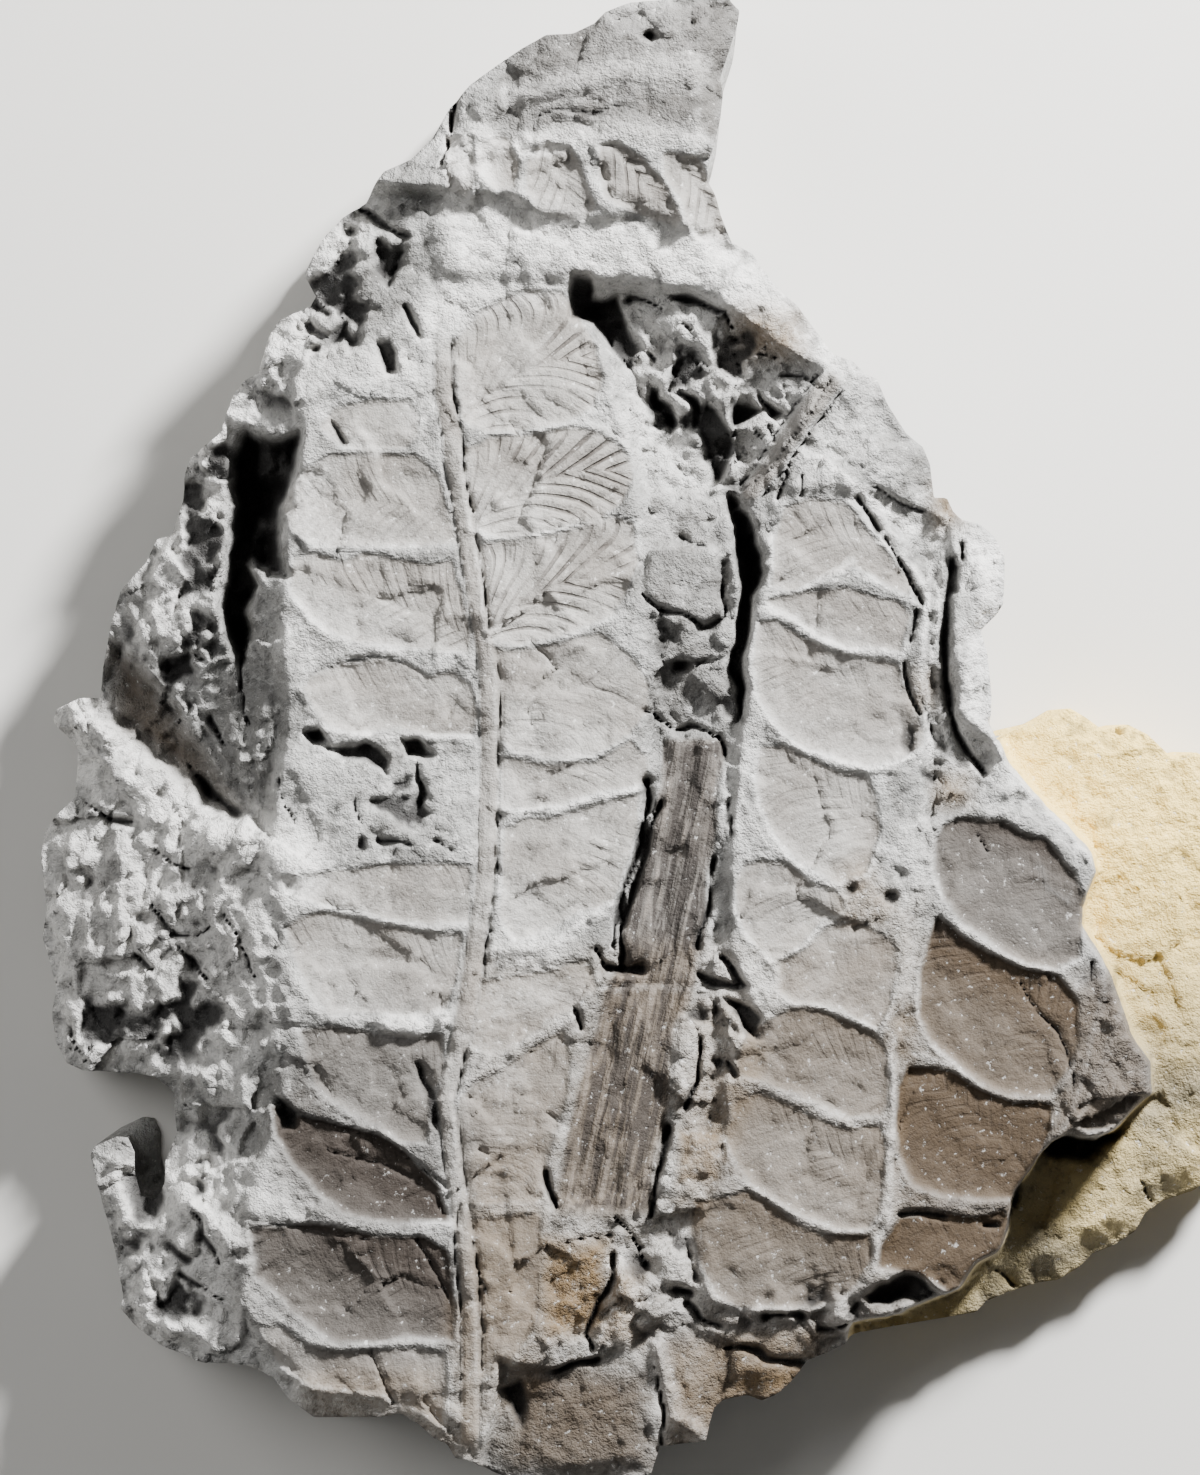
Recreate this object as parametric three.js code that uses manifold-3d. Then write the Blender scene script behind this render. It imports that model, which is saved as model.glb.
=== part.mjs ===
// A slab of stone with the impression of a todites fern: a frond with broad pinnules on both sides of a
// thin rachis, a striated stem beside it, and parts of two more fronds. The slab lies flat, fossil face up.
// Millimetres, +Z up, +Y towards the tip of the frond, origin in the middle of the underside.
import * as THREE from 'three';
import { mergeVertices } from 'three/addons/utils/BufferGeometryUtils.js';
import Module from 'manifold-3d';

// Driving dimensions
const SLAB_LENGTH = 106.4;
const BED_HEIGHT = 12.8;
const STONE_COLOR = 0x9d9992;

// How finely the upper face is faceted
const FIELD_CELLS = 128;
const FIELD_SIDE = SLAB_LENGTH + 1.6;
const FACET_ERROR = 0.28;

// The slab's edge seen from above, clockwise from the left of the block at the top
const OUTLINE = [
  [-20, 40.8], [-18, 41.7], [-16.5, 43.2], [-15.3, 45.3], [-13.8, 47], [-12, 48.3], [-10.2, 49.5],
  [-8.4, 50.5], [-6.5, 50.6], [-5, 51.3], [-4.2, 52.1], [-2.5, 52.8], [1, 53.1], [4.5, 53.2], [5.4, 52.3],
  [5.2, 51.2], [4.4, 48.7], [4, 47.5], [4.2, 46.3], [4, 44.5], [3.6, 42.8], [3.1, 41.2], [3.1, 40.1],
  [3.7, 39], [4, 37.8], [4.8, 35.8], [6.3, 35], [7.4, 33.4], [8.4, 32.2], [9.5, 31.3], [10.3, 30.2],
  [11.2, 29], [12.1, 27.8], [13.5, 27.3], [14.4, 26.4], [15.2, 26.1], [16, 24.2], [17.3, 22.2],
  [18.5, 21.2], [19, 20], [19.3, 17.6], [20.2, 17.6], [20.7, 16.6], [21.3, 16], [22.5, 15.7],
  [23.5, 14.9], [24.3, 13.6], [24.3, 11.5], [24.2, 10], [23.8, 9.3], [22.6, 8.1], [23.1, 6.4],
  [23.4, 3.4], [23.3, 1.4], [23.9, 0.2], [25.2, 1], [27.3, 1.5], [28.2, 2], [29.2, 2.6], [30.4, 1.9],
  [31.6, 1], [33.4, 1.4], [34.8, 0.7], [36.6, -1], [38.3, -0.6], [40.5, -1.5], [42.6, -4], [44.2, -8],
  [44.9, -13], [44.6, -19], [43.2, -25], [41.3, -29.5], [38.3, -32.2], [36, -33], [34.8, -33.8],
  [34, -35.2], [32.5, -36.2], [31, -36.8], [30, -37.8], [28.5, -38.7], [27, -38.9], [25, -39.5],
  [23.3, -40.2], [22.5, -41], [20, -41.4], [16, -42.1], [14, -42.5], [11.7, -43.6], [10.4, -44.1],
  [9.8, -44.8], [9, -45.8], [8, -46.6], [7, -47], [6, -46.6], [4.3, -46.9], [3.6, -47.5], [3.3, -48.5],
  [3, -49.9], [1, -50.1], [-0.3, -50.3], [-0.9, -52.2], [-3, -53], [-6, -53.2], [-10, -52.9],
  [-12.2, -52.1], [-13.8, -51.2], [-14.9, -51], [-15.5, -50], [-16.4, -49.6], [-17.5, -48.6],
  [-18.8, -47.8], [-20.3, -48.1], [-25, -48.1], [-26.8, -46.8], [-27.9, -45.3], [-30, -44.4],
  [-33, -44.3], [-36, -43.2], [-38, -41.8], [-39, -40.5], [-38.8, -39.7], [-39.5, -36], [-40.3, -33],
  [-41.2, -29.6], [-41, -29], [-39.3, -28.2], [-38.5, -28.3], [-38, -29.3], [-38, -31], [-37.6, -32.5],
  [-36.5, -32.8], [-35.8, -31.5], [-35.8, -30], [-35, -28], [-35.2, -25], [-36.5, -23.9],
  [-38, -23.7], [-41.8, -23.5], [-43, -23], [-43.8, -21.5], [-44.1, -19.5], [-43.8, -17.5],
  [-44.8, -14], [-44.5, -12], [-44.9, -8], [-44.6, -6.3], [-43.6, -5], [-42.4, -3.9], [-42.2, -0.3],
  [-44, 1.6], [-43.7, 2.5], [-42, 3.3], [-40.5, 3.3], [-40.3, 5.5], [-39.7, 8.6], [-39, 11], [-37.2, 13],
  [-36.4, 14.7], [-35.3, 15], [-34.6, 17], [-34.4, 19.2], [-34, 20.5], [-31.8, 22.2], [-30.8, 25],
  [-30, 26], [-29, 26.5], [-28.2, 29.2], [-27.5, 30.3], [-25.3, 31.3], [-24.9, 32], [-25.7, 33.5],
  [-25.1, 34.8], [-24.3, 36.2], [-23, 37.6], [-21.3, 38.7], [-20.8, 39.7],
];

// Flat-topped areas, each laid over those before it: how far its first corner lies above the bed, its
// slopes along X and Y, the width of its edge and how rough it is
const PLATES = [
  { rise: 0, slope: [0.4, 0], edge: 5, rough: 1, points: [
    [-24.5, 41], [-25, 32], [-27.2, 24], [-28, 12], [-27.4, 0], [-28.6, -8], [-28, -13], [-26.5, -19],
    [-28.5, -27], [-31, -34], [-30.6, -41], [-27, -46], [-27, -55], [-50, -55], [-50, 41]] },
  { rise: 0.9, slope: [0, 0], edge: 1.5, rough: 0.15, points: [
    [-22, 36], [-12, 37.5], [-7, 33], [-5, 30], [-4, 27], [-2.5, 22.5], [-1.4, 17], [-1.5, 9],
    [-1, 3], [-1.6, -5], [-3.3, -13], [-5, -17], [-6.5, -25], [-8, -34], [-8.7, -43], [-11, -47],
    [-12.5, -53], [-19, -50], [-27, -49], [-28, -44], [-30.4, -40], [-30, -34], [-28.3, -27],
    [-26.6, -20], [-27.6, -15], [-28.4, -8], [-27.4, 0], [-27.8, 10], [-26.4, 20], [-25.4, 28]] },
  { rise: -0.9, slope: [0, -0.03], edge: 2, rough: 1, points: [
    [-7, 35], [5, 36], [8, 33], [12, 29], [10, 25.5], [8.4, 21], [6, 18], [2.5, 18.2], [-1.4, 22],
    [-3, 26.5], [-5.4, 30]] },
  { rise: 0.8, slope: [0, 0], edge: 1.5, rough: 0.6, points: [
    [12.5, 28.5], [10.5, 25], [8.5, 20], [9, 16], [14, 18.5], [20, 15.5], [21, 20], [17, 26]] },
  { rise: 3.1, slope: [0, 0.02], edge: 1.8, rough: 0.9, points: [
    [-23, 40], [-15, 39], [-11, 39], [-9, 37.6], [-4, 37.2], [-2, 37.8], [2, 36.4], [5, 35.6],
    [8, 40], [8, 56], [-20, 56]] },
  { rise: 0, slope: [0, 0], edge: 1, rough: 0.2, points: [
    [0.2, 0.4], [-0.8, -5], [-2, -10], [-3.2, -16], [-5, -20], [-6, -24], [-7.8, -33], [-1, -33.5],
    [0, -25], [1.5, -18], [2.9, -11], [3.6, -6], [4.4, 0]] },
  { rise: 0.7, slope: [0, 0], edge: 1.2, rough: 0.15, points: [
    [8, 17.6], [7.6, 12.6], [6.6, 9.5], [6.2, 5], [5.3, 0], [4.6, -8], [4.6, -14], [6.4, -18.5],
    [4, -24], [4.4, -30], [2, -35], [3, -40], [9.5, -41], [15.5, -38.5], [16.2, -30], [17, -20],
    [18.6, -8], [19, 8], [17.5, 14.5], [12, 18.4]] },
  { rise: 1.4, slope: [0.05, 0], edge: 1, rough: 0.3, points: [
    [20.2, 15.6], [20.2, 10], [20.6, 6], [21, 2], [24.6, -1], [26, 10], [25, 17]] },
  { rise: 0.2, slope: [0, 0], edge: 1, rough: 0.15, points: [
    [19.6, -5], [22, -4.2], [26, -4.5], [30.6, -9], [31.6, -16], [30, -25], [26.6, -32], [24.4, -37],
    [20, -39.6], [15.6, -38], [16.4, -30], [17.2, -20]] },
  { rise: -0.6, slope: [0, 0.05], edge: 1, rough: 0.4, points: [
    [-11.5, -44], [-8.8, -44.8], [-5, -44], [0, -41], [5, -41.4], [10.4, -41.2], [11.4, -45],
    [5, -49], [0, -52], [-8, -55], [-13, -53]] },
  { rise: -5.2, slope: [-0.02, 0.05], edge: 0.9, rough: 0.35, points: [
    [23.6, 1.5], [25, -1.6], [28, -5], [30.6, -7.7], [31, -9], [29.9, -11.7], [29.8, -12.9],
    [31.5, -15.3], [32.3, -17], [33.5, -20.8], [34.9, -22.8], [34.8, -25], [32.6, -27.2], [31, -28.3],
    [29.5, -28.2], [28, -28.4], [27, -29.5], [25, -32.8], [24.8, -35], [24, -36.5], [22.5, -37.3],
    [21, -39], [19.6, -39.6], [17, -41], [13.5, -41.6], [12.5, -46], [50, -46], [50, 6]] },
];

// Broken-out holes, each with its depth, the width of its edge and its outline
const PITS = [
  { depth: 6.2, edge: 1.4, points: [
    [-29.8, 22.6], [-28, 21.5], [-26.5, 22], [-26.6, 18.5], [-27.6, 15.5], [-27, 12.3], [-28.2, 13.4],
    [-29.3, 12.8], [-29.2, 9], [-30, 6], [-31.3, 10], [-30.6, 16], [-31.2, 18.6], [-30.6, 21]] },
  { depth: 2.6, edge: 1, points: [
    [-6.8, 33.3], [-5.2, 32], [-3.2, 32], [-2.5, 30.5], [-2.3, 26.6], [-4.3, 29], [-6.6, 30.5]] },
  { depth: 2.6, edge: 0.9, points: [[-1.2, 25.8], [0, 25], [1, 22.6], [0, 22.8]] },
  { depth: 2.6, edge: 0.9, points: [[0.9, 24.9], [3, 24.8], [4.4, 24], [5, 22.3], [3.4, 18.6], [2.9, 22]] },
  { depth: 2.2, edge: 0.9, points: [[5.2, 24.8], [8.7, 24.3], [8.4, 22.8], [5.4, 22.9]] },
  { depth: 4.5, edge: 1, points: [
    [4, 17.8], [5.6, 16.4], [7.5, 13.8], [7.6, 11.6], [6.6, 9], [6.3, 5], [5.4, 1.2], [4.8, 5],
    [5.2, 9], [5.8, 12.2], [4.9, 15.6]] },
  { depth: 2, edge: 0.8, points: [[14.4, -7.8], [15.8, -7.2], [16.6, -9], [16.2, -11], [14.8, -10.4]] },
  { depth: 2, edge: 0.8, points: [[4.3, -18], [7.3, -19.2], [6.8, -21], [4.8, -20]] },
  { depth: 3.4, edge: 1, points: [[14, -39.8], [15.5, -38.4], [18.3, -38.3], [19.6, -39.4], [18, -40.4]] },
  { depth: 2, edge: 0.8, points: [[-20.7, 28.9], [-20.5, 26.3], [-19.2, 26.1], [-18.3, 28.2]] },
  { depth: 2.2, edge: 0.9, points: [
    [-26, 0.6], [-24, -0.6], [-20, -1.2], [-17, -0.4], [-17.2, -4.5], [-19, -1.8], [-24, -1.6]] },
  { depth: 2, edge: 0.8, points: [[-28, -25.4], [-26.4, -26.4], [-26.6, -27.8], [-27.6, -27.4]] },
  { depth: 2.6, edge: 0.9, points: [[-17.8, -22.3], [-16.9, -22.6], [-16.5, -27.6], [-18, -27.2]] },
  { depth: 2.4, edge: 0.9, points: [[-11.6, -46.4], [-9, -46.2], [-8.8, -49.2], [-11.4, -49]] },
  { depth: 3, edge: 2, points: [
    [-40, 7], [-37.5, 5], [-34.5, 1], [-31, -4.7], [-33.3, -4], [-35.8, -1.8], [-39.3, 1.5]] },
];

// Cracks and the grooves beside the rachises, each with its depth, width and course
const GROOVES = [
  { depth: 1.3, width: 1.1, points: [[-14.3, 47], [-15.4, 44], [-16, 41]] },
  { depth: 0.9, width: 0.9, points: [[-12, 44.6], [-6, 45], [1, 45.4]] },
  { depth: 1.4, width: 1, points: [[-2.2, 31.8], [0.6, 31.6], [4.4, 31.2], [4.9, 30]] },
  { depth: 1.2, width: 0.8, points: [[-1.4, 2.2], [0.5, 1.2], [3.8, 0.5], [4.5, -1.2]] },
  { depth: 1.8, width: 1, points: [[-1.2, -2.7], [-1.5, -6], [-2.8, -10], [-3.2, -16.2], [-4.8, -15]] },
  { depth: 1.4, width: 0.9, points: [[3.6, -8.2], [2.9, -12.5], [2.6, -14.5]] },
  { depth: 1.4, width: 1, points: [[2.6, -21], [2.2, -24], [1, -27], [-0.4, -30], [-0.9, -33.8]] },
  { depth: 1.4, width: 0.9, points: [[-8.3, -30.7], [-7.6, -33.5]] },
  { depth: 1.2, width: 0.9, points: [[2.5, -16.9], [5.6, -17.2]] },
  { depth: 0.7, width: 0.9, points: [
    [-14.9, 29], [-14.8, 24], [-14.2, 20], [-13.5, 16], [-12.8, 12], [-12.2, 7]] },
  { depth: 0.5, width: 0.9, points: [
    [-16.5, 26], [-15.7, 20], [-14.7, 14], [-13.7, 7], [-13, 0], [-13.2, -9]] },
  { depth: 0.6, width: 0.9, points: [
    [-11.9, 2], [-12, -6], [-12.2, -11], [-12.9, -15], [-14, -22], [-15, -25]] },
  { depth: 0.6, width: 0.9, points: [
    [-13.2, -9], [-14.2, -16], [-15, -21], [-16.2, -25], [-16, -30], [-15.2, -36]] },
  { depth: 0.7, width: 0.9, points: [[-14, -30], [-13.3, -36], [-13.1, -41], [-13.2, -49]] },
  { depth: 1.1, width: 1, points: [[19.9, 9.5], [19.4, 4], [20.2, 1.5], [21.5, -0.8], [23.3, -2]] },
  { depth: 0.9, width: 0.9, points: [[17.9, 9], [17.4, 6], [18.2, 2.8], [18.6, -1]] },
  { depth: 1.2, width: 1, points: [[13.5, 17.6], [15.3, 15]] },
  { depth: 1, width: 0.8, points: [[16.4, -33.6], [20, -33.4], [24.3, -33.2]] },
  { depth: 1.2, width: 0.9, points: [[-3.8, -33.3], [-1.9, -37], [-3.9, -38], [-5.4, -43]] },
  { depth: 1.2, width: 0.9, points: [[-0.6, -44.5], [0, -47.8], [-0.3, -50]] },
  { depth: 1.2, width: 0.9, points: [[0.6, -39.6], [4, -41.8], [7.5, -41.2], [10, -40.9]] },
  { depth: 0.9, width: 0.9, points: [[-42, -4.5], [-38.5, -6], [-35, -8.6]] },
  { depth: 0.9, width: 0.9, points: [[-36.7, -11.5], [-34.8, -14.6], [-32.4, -17]] },
];

// Ribs and bright-edged ridges, each with its height, width and course
const RIDGES = [
  { rise: 0.35, width: 1.2, points: [
    [-15.8, 29], [-15.1, 22], [-14.5, 17.5], [-13.6, 12], [-12.8, 7], [-12.4, 0], [-12.6, -8.5],
    [-13.4, -14], [-14.3, -20], [-15.6, -25.5], [-15, -30], [-14.1, -36], [-13.7, -45], [-13.9, -50]] },
  { rise: 0.5, width: 1.3, points: [[19.6, 14.5], [18.9, 7], [19.3, 2], [19.6, -4]] },
  { rise: 0.5, width: 1.3, points: [[31.3, -15.5], [30.3, -20], [29.2, -25], [27, -29.5], [25, -33]] },
  { rise: 0.6, width: 1.6, points: [[11.3, 20.3], [14.5, 17.7], [17.5, 15.4], [19.8, 15]] },
  { rise: 0.5, width: 1.6, points: [[15.8, -21], [15.9, -29], [15.8, -36.5]] },
  { rise: 1.5, width: 5, points: [[-42, 1], [-38, -3], [-33, -7], [-28, -9]] },
  { rise: 1.3, width: 3, points: [[-33, 20.5], [-31, 24], [-28, 28]] },
  { rise: 1.2, width: 4, points: [[-34, -33], [-31, -36.5]] },
  { rise: 0.9, width: 1.6, points: [[-26, -11], [-20, -12.8], [-15.6, -13]] },
  { rise: 0.9, width: 1.8, points: [[-25, -25.4], [-22, -27], [-18.6, -29]] },
  { rise: 0.8, width: 1.8, points: [[-29.5, -40.2], [-25, -42.7], [-21, -43], [-16.5, -42.7]] },
  { rise: 0.9, width: 1.6, points: [[-11.5, -14.2], [-8, -13.6], [-4, -11.4]] },
  { rise: 0.6, width: 1.4, points: [[4.4, -0.8], [4.6, -7], [4, -14]] },
  { rise: 0.9, width: 1.5, points: [[25, -1.6], [28, -5], [30.4, -8.4]] },
];

// Pinnules: dished leaflets, each from its base on the rachis to its tip, with half its width, how far it
// arches sideways and how deep it lies
const PINNULES = [
  { base: [-16.5, 22.6], tip: [-25, 23.6], half: 2, arch: 0.3, depth: 0.6 },
  { base: [-15.4, 17.6], tip: [-27.2, 17.4], half: 3.3, arch: 0.6, depth: 0.7 },
  { base: [-14.4, 10.2], tip: [-27, 10.6], half: 3.4, arch: 0.6, depth: 0.8 },
  { base: [-13.6, 3.2], tip: [-26, 3.4], half: 2.9, arch: 0.5, depth: 0.9 },
  { base: [-13.8, -9.8], tip: [-28.6, -9.6], half: 1.8, arch: 0.2, depth: 0.5 },
  { base: [-14.6, -16.2], tip: [-27.2, -15.6], half: 3.1, arch: 0.4, depth: 0.8 },
  { base: [-16, -24.4], tip: [-26.4, -22.8], half: 3.1, arch: 0.6, depth: 1 },
  { base: [-15.8, -32.4], tip: [-28, -29.6], half: 3, arch: 0.8, depth: 1.1 },
  { base: [-15, -38.8], tip: [-30, -38], half: 3.4, arch: 0.4, depth: 0.9 },
  { base: [-15, -45.6], tip: [-27, -45.6], half: 2.2, arch: 0.2, depth: 0.7 },
  { base: [-14.4, 25.8], tip: [-4.4, 27.6], half: 3.6, arch: 1, depth: 0.6 },
  { base: [-13.5, 17.8], tip: [-2.2, 19.2], half: 3.7, arch: 1, depth: 0.6 },
  { base: [-12.6, 9.2], tip: [-2, 12.4], half: 3.6, arch: 1, depth: 0.7 },
  { base: [-11.8, 2], tip: [-1.4, 4.4], half: 3, arch: 0.8, depth: 0.5 },
  { base: [-11.8, -8.4], tip: [-2, -7.4], half: 3.6, arch: 0.8, depth: 0.8 },
  { base: [-12.6, -17.8], tip: [-5.4, -16.8], half: 2.4, arch: 0.4, depth: 0.5 },
  { base: [-14.4, -27.4], tip: [-7.4, -26.6], half: 3.4, arch: 0.4, depth: 0.5 },
  { base: [17.6, 10.4], tip: [7.4, 14.4], half: 2.9, arch: -0.8, depth: 0.8 },
  { base: [18.2, 7.4], tip: [6.8, 8.6], half: 2.2, arch: -0.6, depth: 0.8 },
  { base: [18.2, 1.4], tip: [6, 3.8], half: 3.2, arch: -0.6, depth: 0.9 },
  { base: [17.6, -4.8], tip: [6, -4.4], half: 3, arch: -0.4, depth: 0.8 },
  { base: [14, -12.4], tip: [5.2, -11.2], half: 3.2, arch: -0.4, depth: 0.7 },
  { base: [17, -16.6], tip: [8.6, -16.4], half: 2.2, arch: -0.4, depth: 0.6 },
  { base: [15.8, -23.4], tip: [4.6, -22.2], half: 2.7, arch: -0.4, depth: 0.9 },
  { base: [15.4, -30.8], tip: [4.6, -29], half: 3.3, arch: -0.4, depth: 1 },
  { base: [15.2, -37.6], tip: [2.4, -36.8], half: 2.5, arch: -0.3, depth: 0.8 },
  { base: [30, -12.2], tip: [19.6, -8.6], half: 3.6, arch: -0.8, depth: 1.1 },
  { base: [29.6, -21.4], tip: [18.8, -17.6], half: 4.1, arch: -0.8, depth: 1.1 },
  { base: [27.8, -29.2], tip: [17.2, -27.8], half: 4, arch: -0.6, depth: 1.1 },
  { base: [24.4, -35.6], tip: [17.2, -36.2], half: 2, arch: -0.4, depth: 0.9 },
  { base: [-9.6, 43], tip: [-5.6, 37.4], half: 1.9, arch: 0.3, depth: 0.7 },
  { base: [-4.8, 42.4], tip: [0.8, 36.8], half: 2.1, arch: 0.4, depth: 0.7 },
];

// Coarse lumps and hollows of broken stone
const LUMP_SIZES = [{ span: 6.5, rise: 0.9 }, { span: 2.8, rise: 0.55 }];
const SMOOTH_SHARE = 0.12;
const RIM_DROP = 1.5;
const RIM_WIDTH = 2.2;
const LEAST_HEIGHT = 3.4;
const FOOT_HEIGHT = -2;

// The slab's side, from the underside up: height, size against the outline, and how far the break wavers
const SIDE_RINGS = [
  { z: 0, size: 0.96, waver: 0.012 },
  { z: 1.3, size: 0.985, waver: 0.012 },
  { z: 2.8, size: 1, waver: 0 },
  { z: 7.5, size: 1, waver: 0.012 },
  { z: 19, size: 1, waver: 0.008 },
];

const smoothstep = THREE.MathUtils.smoothstep;
const lerp = THREE.MathUtils.lerp;

// The distance from a point to a course of straight stretches
function courseDistance(points, x, y, closed) {
  let nearest = Infinity;
  const last = closed ? points.length : points.length - 1;
  for (let i = 0; i < last; i += 1) {
    const [ax, ay] = points[i];
    const [bx, by] = points[(i + 1) % points.length];
    const along = ((x - ax) * (bx - ax) + (y - ay) * (by - ay)) / ((bx - ax) ** 2 + (by - ay) ** 2);
    const t = THREE.MathUtils.clamp(along, 0, 1);
    nearest = Math.min(nearest, Math.hypot(x - lerp(ax, bx, t), y - lerp(ay, by, t)));
  }
  return nearest;
}

// The distance to an outline's edge, above zero inside it and below zero outside
function insideDistance(points, x, y) {
  let inside = false;
  points.forEach(([ax, ay], i) => {
    const [bx, by] = points[(i + 1) % points.length];
    const crosses = (ay > y) !== (by > y) && x < ax + ((y - ay) / (by - ay)) * (bx - ax);
    inside = inside !== crosses;
  });
  const distance = courseDistance(points, x, y, true);
  return inside ? distance : -distance;
}

// Features, each with the box in which it changes the surface
function boxed(features, pointsOf, reachOf) {
  return features.map((feature) => {
    const corners = pointsOf(feature).map(([x, y]) => new THREE.Vector2(x, y));
    return { ...feature, box: new THREE.Box2().setFromPoints(corners).expandByScalar(reachOf(feature)) };
  });
}

// A fixed value between 0 and 1 for each whole-numbered place
function cornerValue(ix, iy, seed) {
  let h = Math.imul(ix, 374761393) ^ Math.imul(iy, 668265263) ^ Math.imul(seed, 1274126177);
  h = Math.imul(h ^ (h >>> 13), 1103515245);
  return ((h ^ (h >>> 16)) >>> 0) / 4294967296;
}

// Smooth lumps between -1 and 1, a given span apart
function lumps(x, y, span, seed) {
  const [gx, gy] = [x / span, y / span];
  const [ix, iy] = [Math.floor(gx), Math.floor(gy)];
  const [tx, ty] = [smoothstep(gx - ix, 0, 1), smoothstep(gy - iy, 0, 1)];
  const low = lerp(cornerValue(ix, iy, seed), cornerValue(ix + 1, iy, seed), tx);
  const high = lerp(cornerValue(ix, iy + 1, seed), cornerValue(ix + 1, iy + 1, seed), tx);
  return 2 * lerp(low, high, ty) - 1;
}

// How much lower a point lies for a pinnule over it: a flat-bottomed dish with a rounded tip
function pinnuleDepth({ base, tip, half, arch, depth }, x, y) {
  const [dx, dy] = [tip[0] - base[0], tip[1] - base[1]];
  const length = Math.hypot(dx, dy);
  const along = ((x - base[0]) * dx + (y - base[1]) * dy) / length ** 2;
  const across = ((y - base[1]) * dx - (x - base[0]) * dy) / length - arch * 4 * along * (1 - along);
  const endwise = Math.max(0, Math.abs(2 * along - 1) - 0.1) / 0.9;
  const reach = Math.sqrt(endwise ** 4 + (across / half) ** 4);
  return depth * (1 - smoothstep(reach, 0.45, 1.1));
}

const plates = boxed(PLATES, ({ points }) => points, ({ edge }) => edge);
const pits = boxed(PITS, ({ points }) => points, ({ edge }) => edge);
const grooves = boxed(GROOVES, ({ points }) => points, ({ width }) => width);
const ridges = boxed(RIDGES, ({ points }) => points, ({ width }) => width);
const pinnules = boxed(PINNULES, ({ base, tip }) => [base, tip], ({ half }) => half + 2);

// The height of the upper face at a point
function surfaceHeight(x, y) {
  const point = new THREE.Vector2(x, y);
  const near = (features) => features.filter(({ box }) => box.containsPoint(point));
  let z = BED_HEIGHT;
  let rough = 0.8;
  for (const { rise, slope, edge, rough: own, points } of near(plates)) {
    const share = smoothstep(insideDistance(points, x, y), -edge / 2, edge / 2);
    const [startX, startY] = points[0];
    z = lerp(z, BED_HEIGHT + rise + slope[0] * (x - startX) + slope[1] * (y - startY), share);
    rough = lerp(rough, own, share);
  }
  for (const pinnule of near(pinnules)) z -= pinnuleDepth(pinnule, x, y);
  for (const { rise, width, points } of near(ridges)) {
    z += rise * (1 - smoothstep(courseDistance(points, x, y, false), 0, width / 2));
  }
  for (const { depth, width, points } of near(grooves)) {
    z -= depth * (1 - smoothstep(courseDistance(points, x, y, false), 0, width / 2));
  }
  for (const { depth, edge, points } of near(pits)) {
    z -= depth * smoothstep(insideDistance(points, x, y), -edge / 2, edge / 2);
  }
  const waver = Math.max(rough, SMOOTH_SHARE);
  LUMP_SIZES.forEach(({ span, rise }, i) => {
    z += waver * rise * lumps(x, y, span, i + 1);
  });
  const rim = 1 - smoothstep(insideDistance(OUTLINE, x, y), 0, RIM_WIDTH);
  return Math.max(z - RIM_DROP * rim * (0.6 + 0.4 * lumps(x, y, 4, 7)), LEAST_HEIGHT);
}

// The two halves of a right-angled triangle, given as its far corners a and b and its right-angled corner c
function halvesOf([ax, ay, bx, by, cx, cy]) {
  const [mx, my] = [(ax + bx) / 2, (ay + by) / 2];
  return [[cx, cy, ax, ay, mx, my], [bx, by, cx, cy, mx, my]];
}

// The upper face as right-angled triangles, halved again wherever the stone isn't flat enough
function facetedField() {
  const perRow = FIELD_CELLS + 1;
  const place = (i) => (i / FIELD_CELLS - 0.5) * FIELD_SIDE;
  const indexOf = (i, j) => j * perRow + i;
  const middleOf = ([ax, ay, bx, by]) => indexOf((ax + bx) / 2, (ay + by) / 2);
  const heights = [];
  for (let j = 0; j <= FIELD_CELLS; j += 1) {
    for (let i = 0; i <= FIELD_CELLS; i += 1) heights.push(surfaceHeight(place(i), place(j)));
  }
  const whole = [
    [0, 0, FIELD_CELLS, FIELD_CELLS, FIELD_CELLS, 0],
    [FIELD_CELLS, FIELD_CELLS, 0, 0, 0, FIELD_CELLS],
  ];
  const levels = [whole];
  for (let side = FIELD_CELLS; side > 1; side /= 2) {
    levels.push(levels.at(-1).flatMap(halvesOf));
    levels.push(levels.at(-1).flatMap(halvesOf));
  }
  const finest = levels.pop();
  // How far each middle lies off its triangle's long side, or off any smaller one within the triangle
  const errors = new Float32Array(heights.length);
  levels.reverse().forEach((level, fromFinest) => level.forEach((triangle) => {
    const [ax, ay, bx, by] = triangle;
    const middle = middleOf(triangle);
    const own = Math.abs((heights[indexOf(ax, ay)] + heights[indexOf(bx, by)]) / 2 - heights[middle]);
    const smaller = fromFinest === 0 ? [] : halvesOf(triangle).map((half) => errors[middleOf(half)]);
    errors[middle] = Math.max(errors[middle], own, ...smaller);
  }));
  const smallest = finest[0];
  const smallestSide = Math.abs(smallest[0] - smallest[4]) + Math.abs(smallest[1] - smallest[5]);
  const split = (triangle) => {
    const [ax, ay, bx, by, cx, cy] = triangle;
    const isSmallest = Math.abs(ax - cx) + Math.abs(ay - cy) <= smallestSide;
    if (!isSmallest && errors[middleOf(triangle)] > FACET_ERROR) return halvesOf(triangle).flatMap(split);
    return [[indexOf(ax, ay), indexOf(bx, by), indexOf(cx, cy)]];
  };
  const position = (index, z) => [place(index % perRow), place(Math.floor(index / perRow)), z];
  return {
    triangles: whole.flatMap(split),
    top: (index) => position(index, heights[index]),
    foot: (index) => position(index, FOOT_HEIGHT),
  };
}

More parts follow.
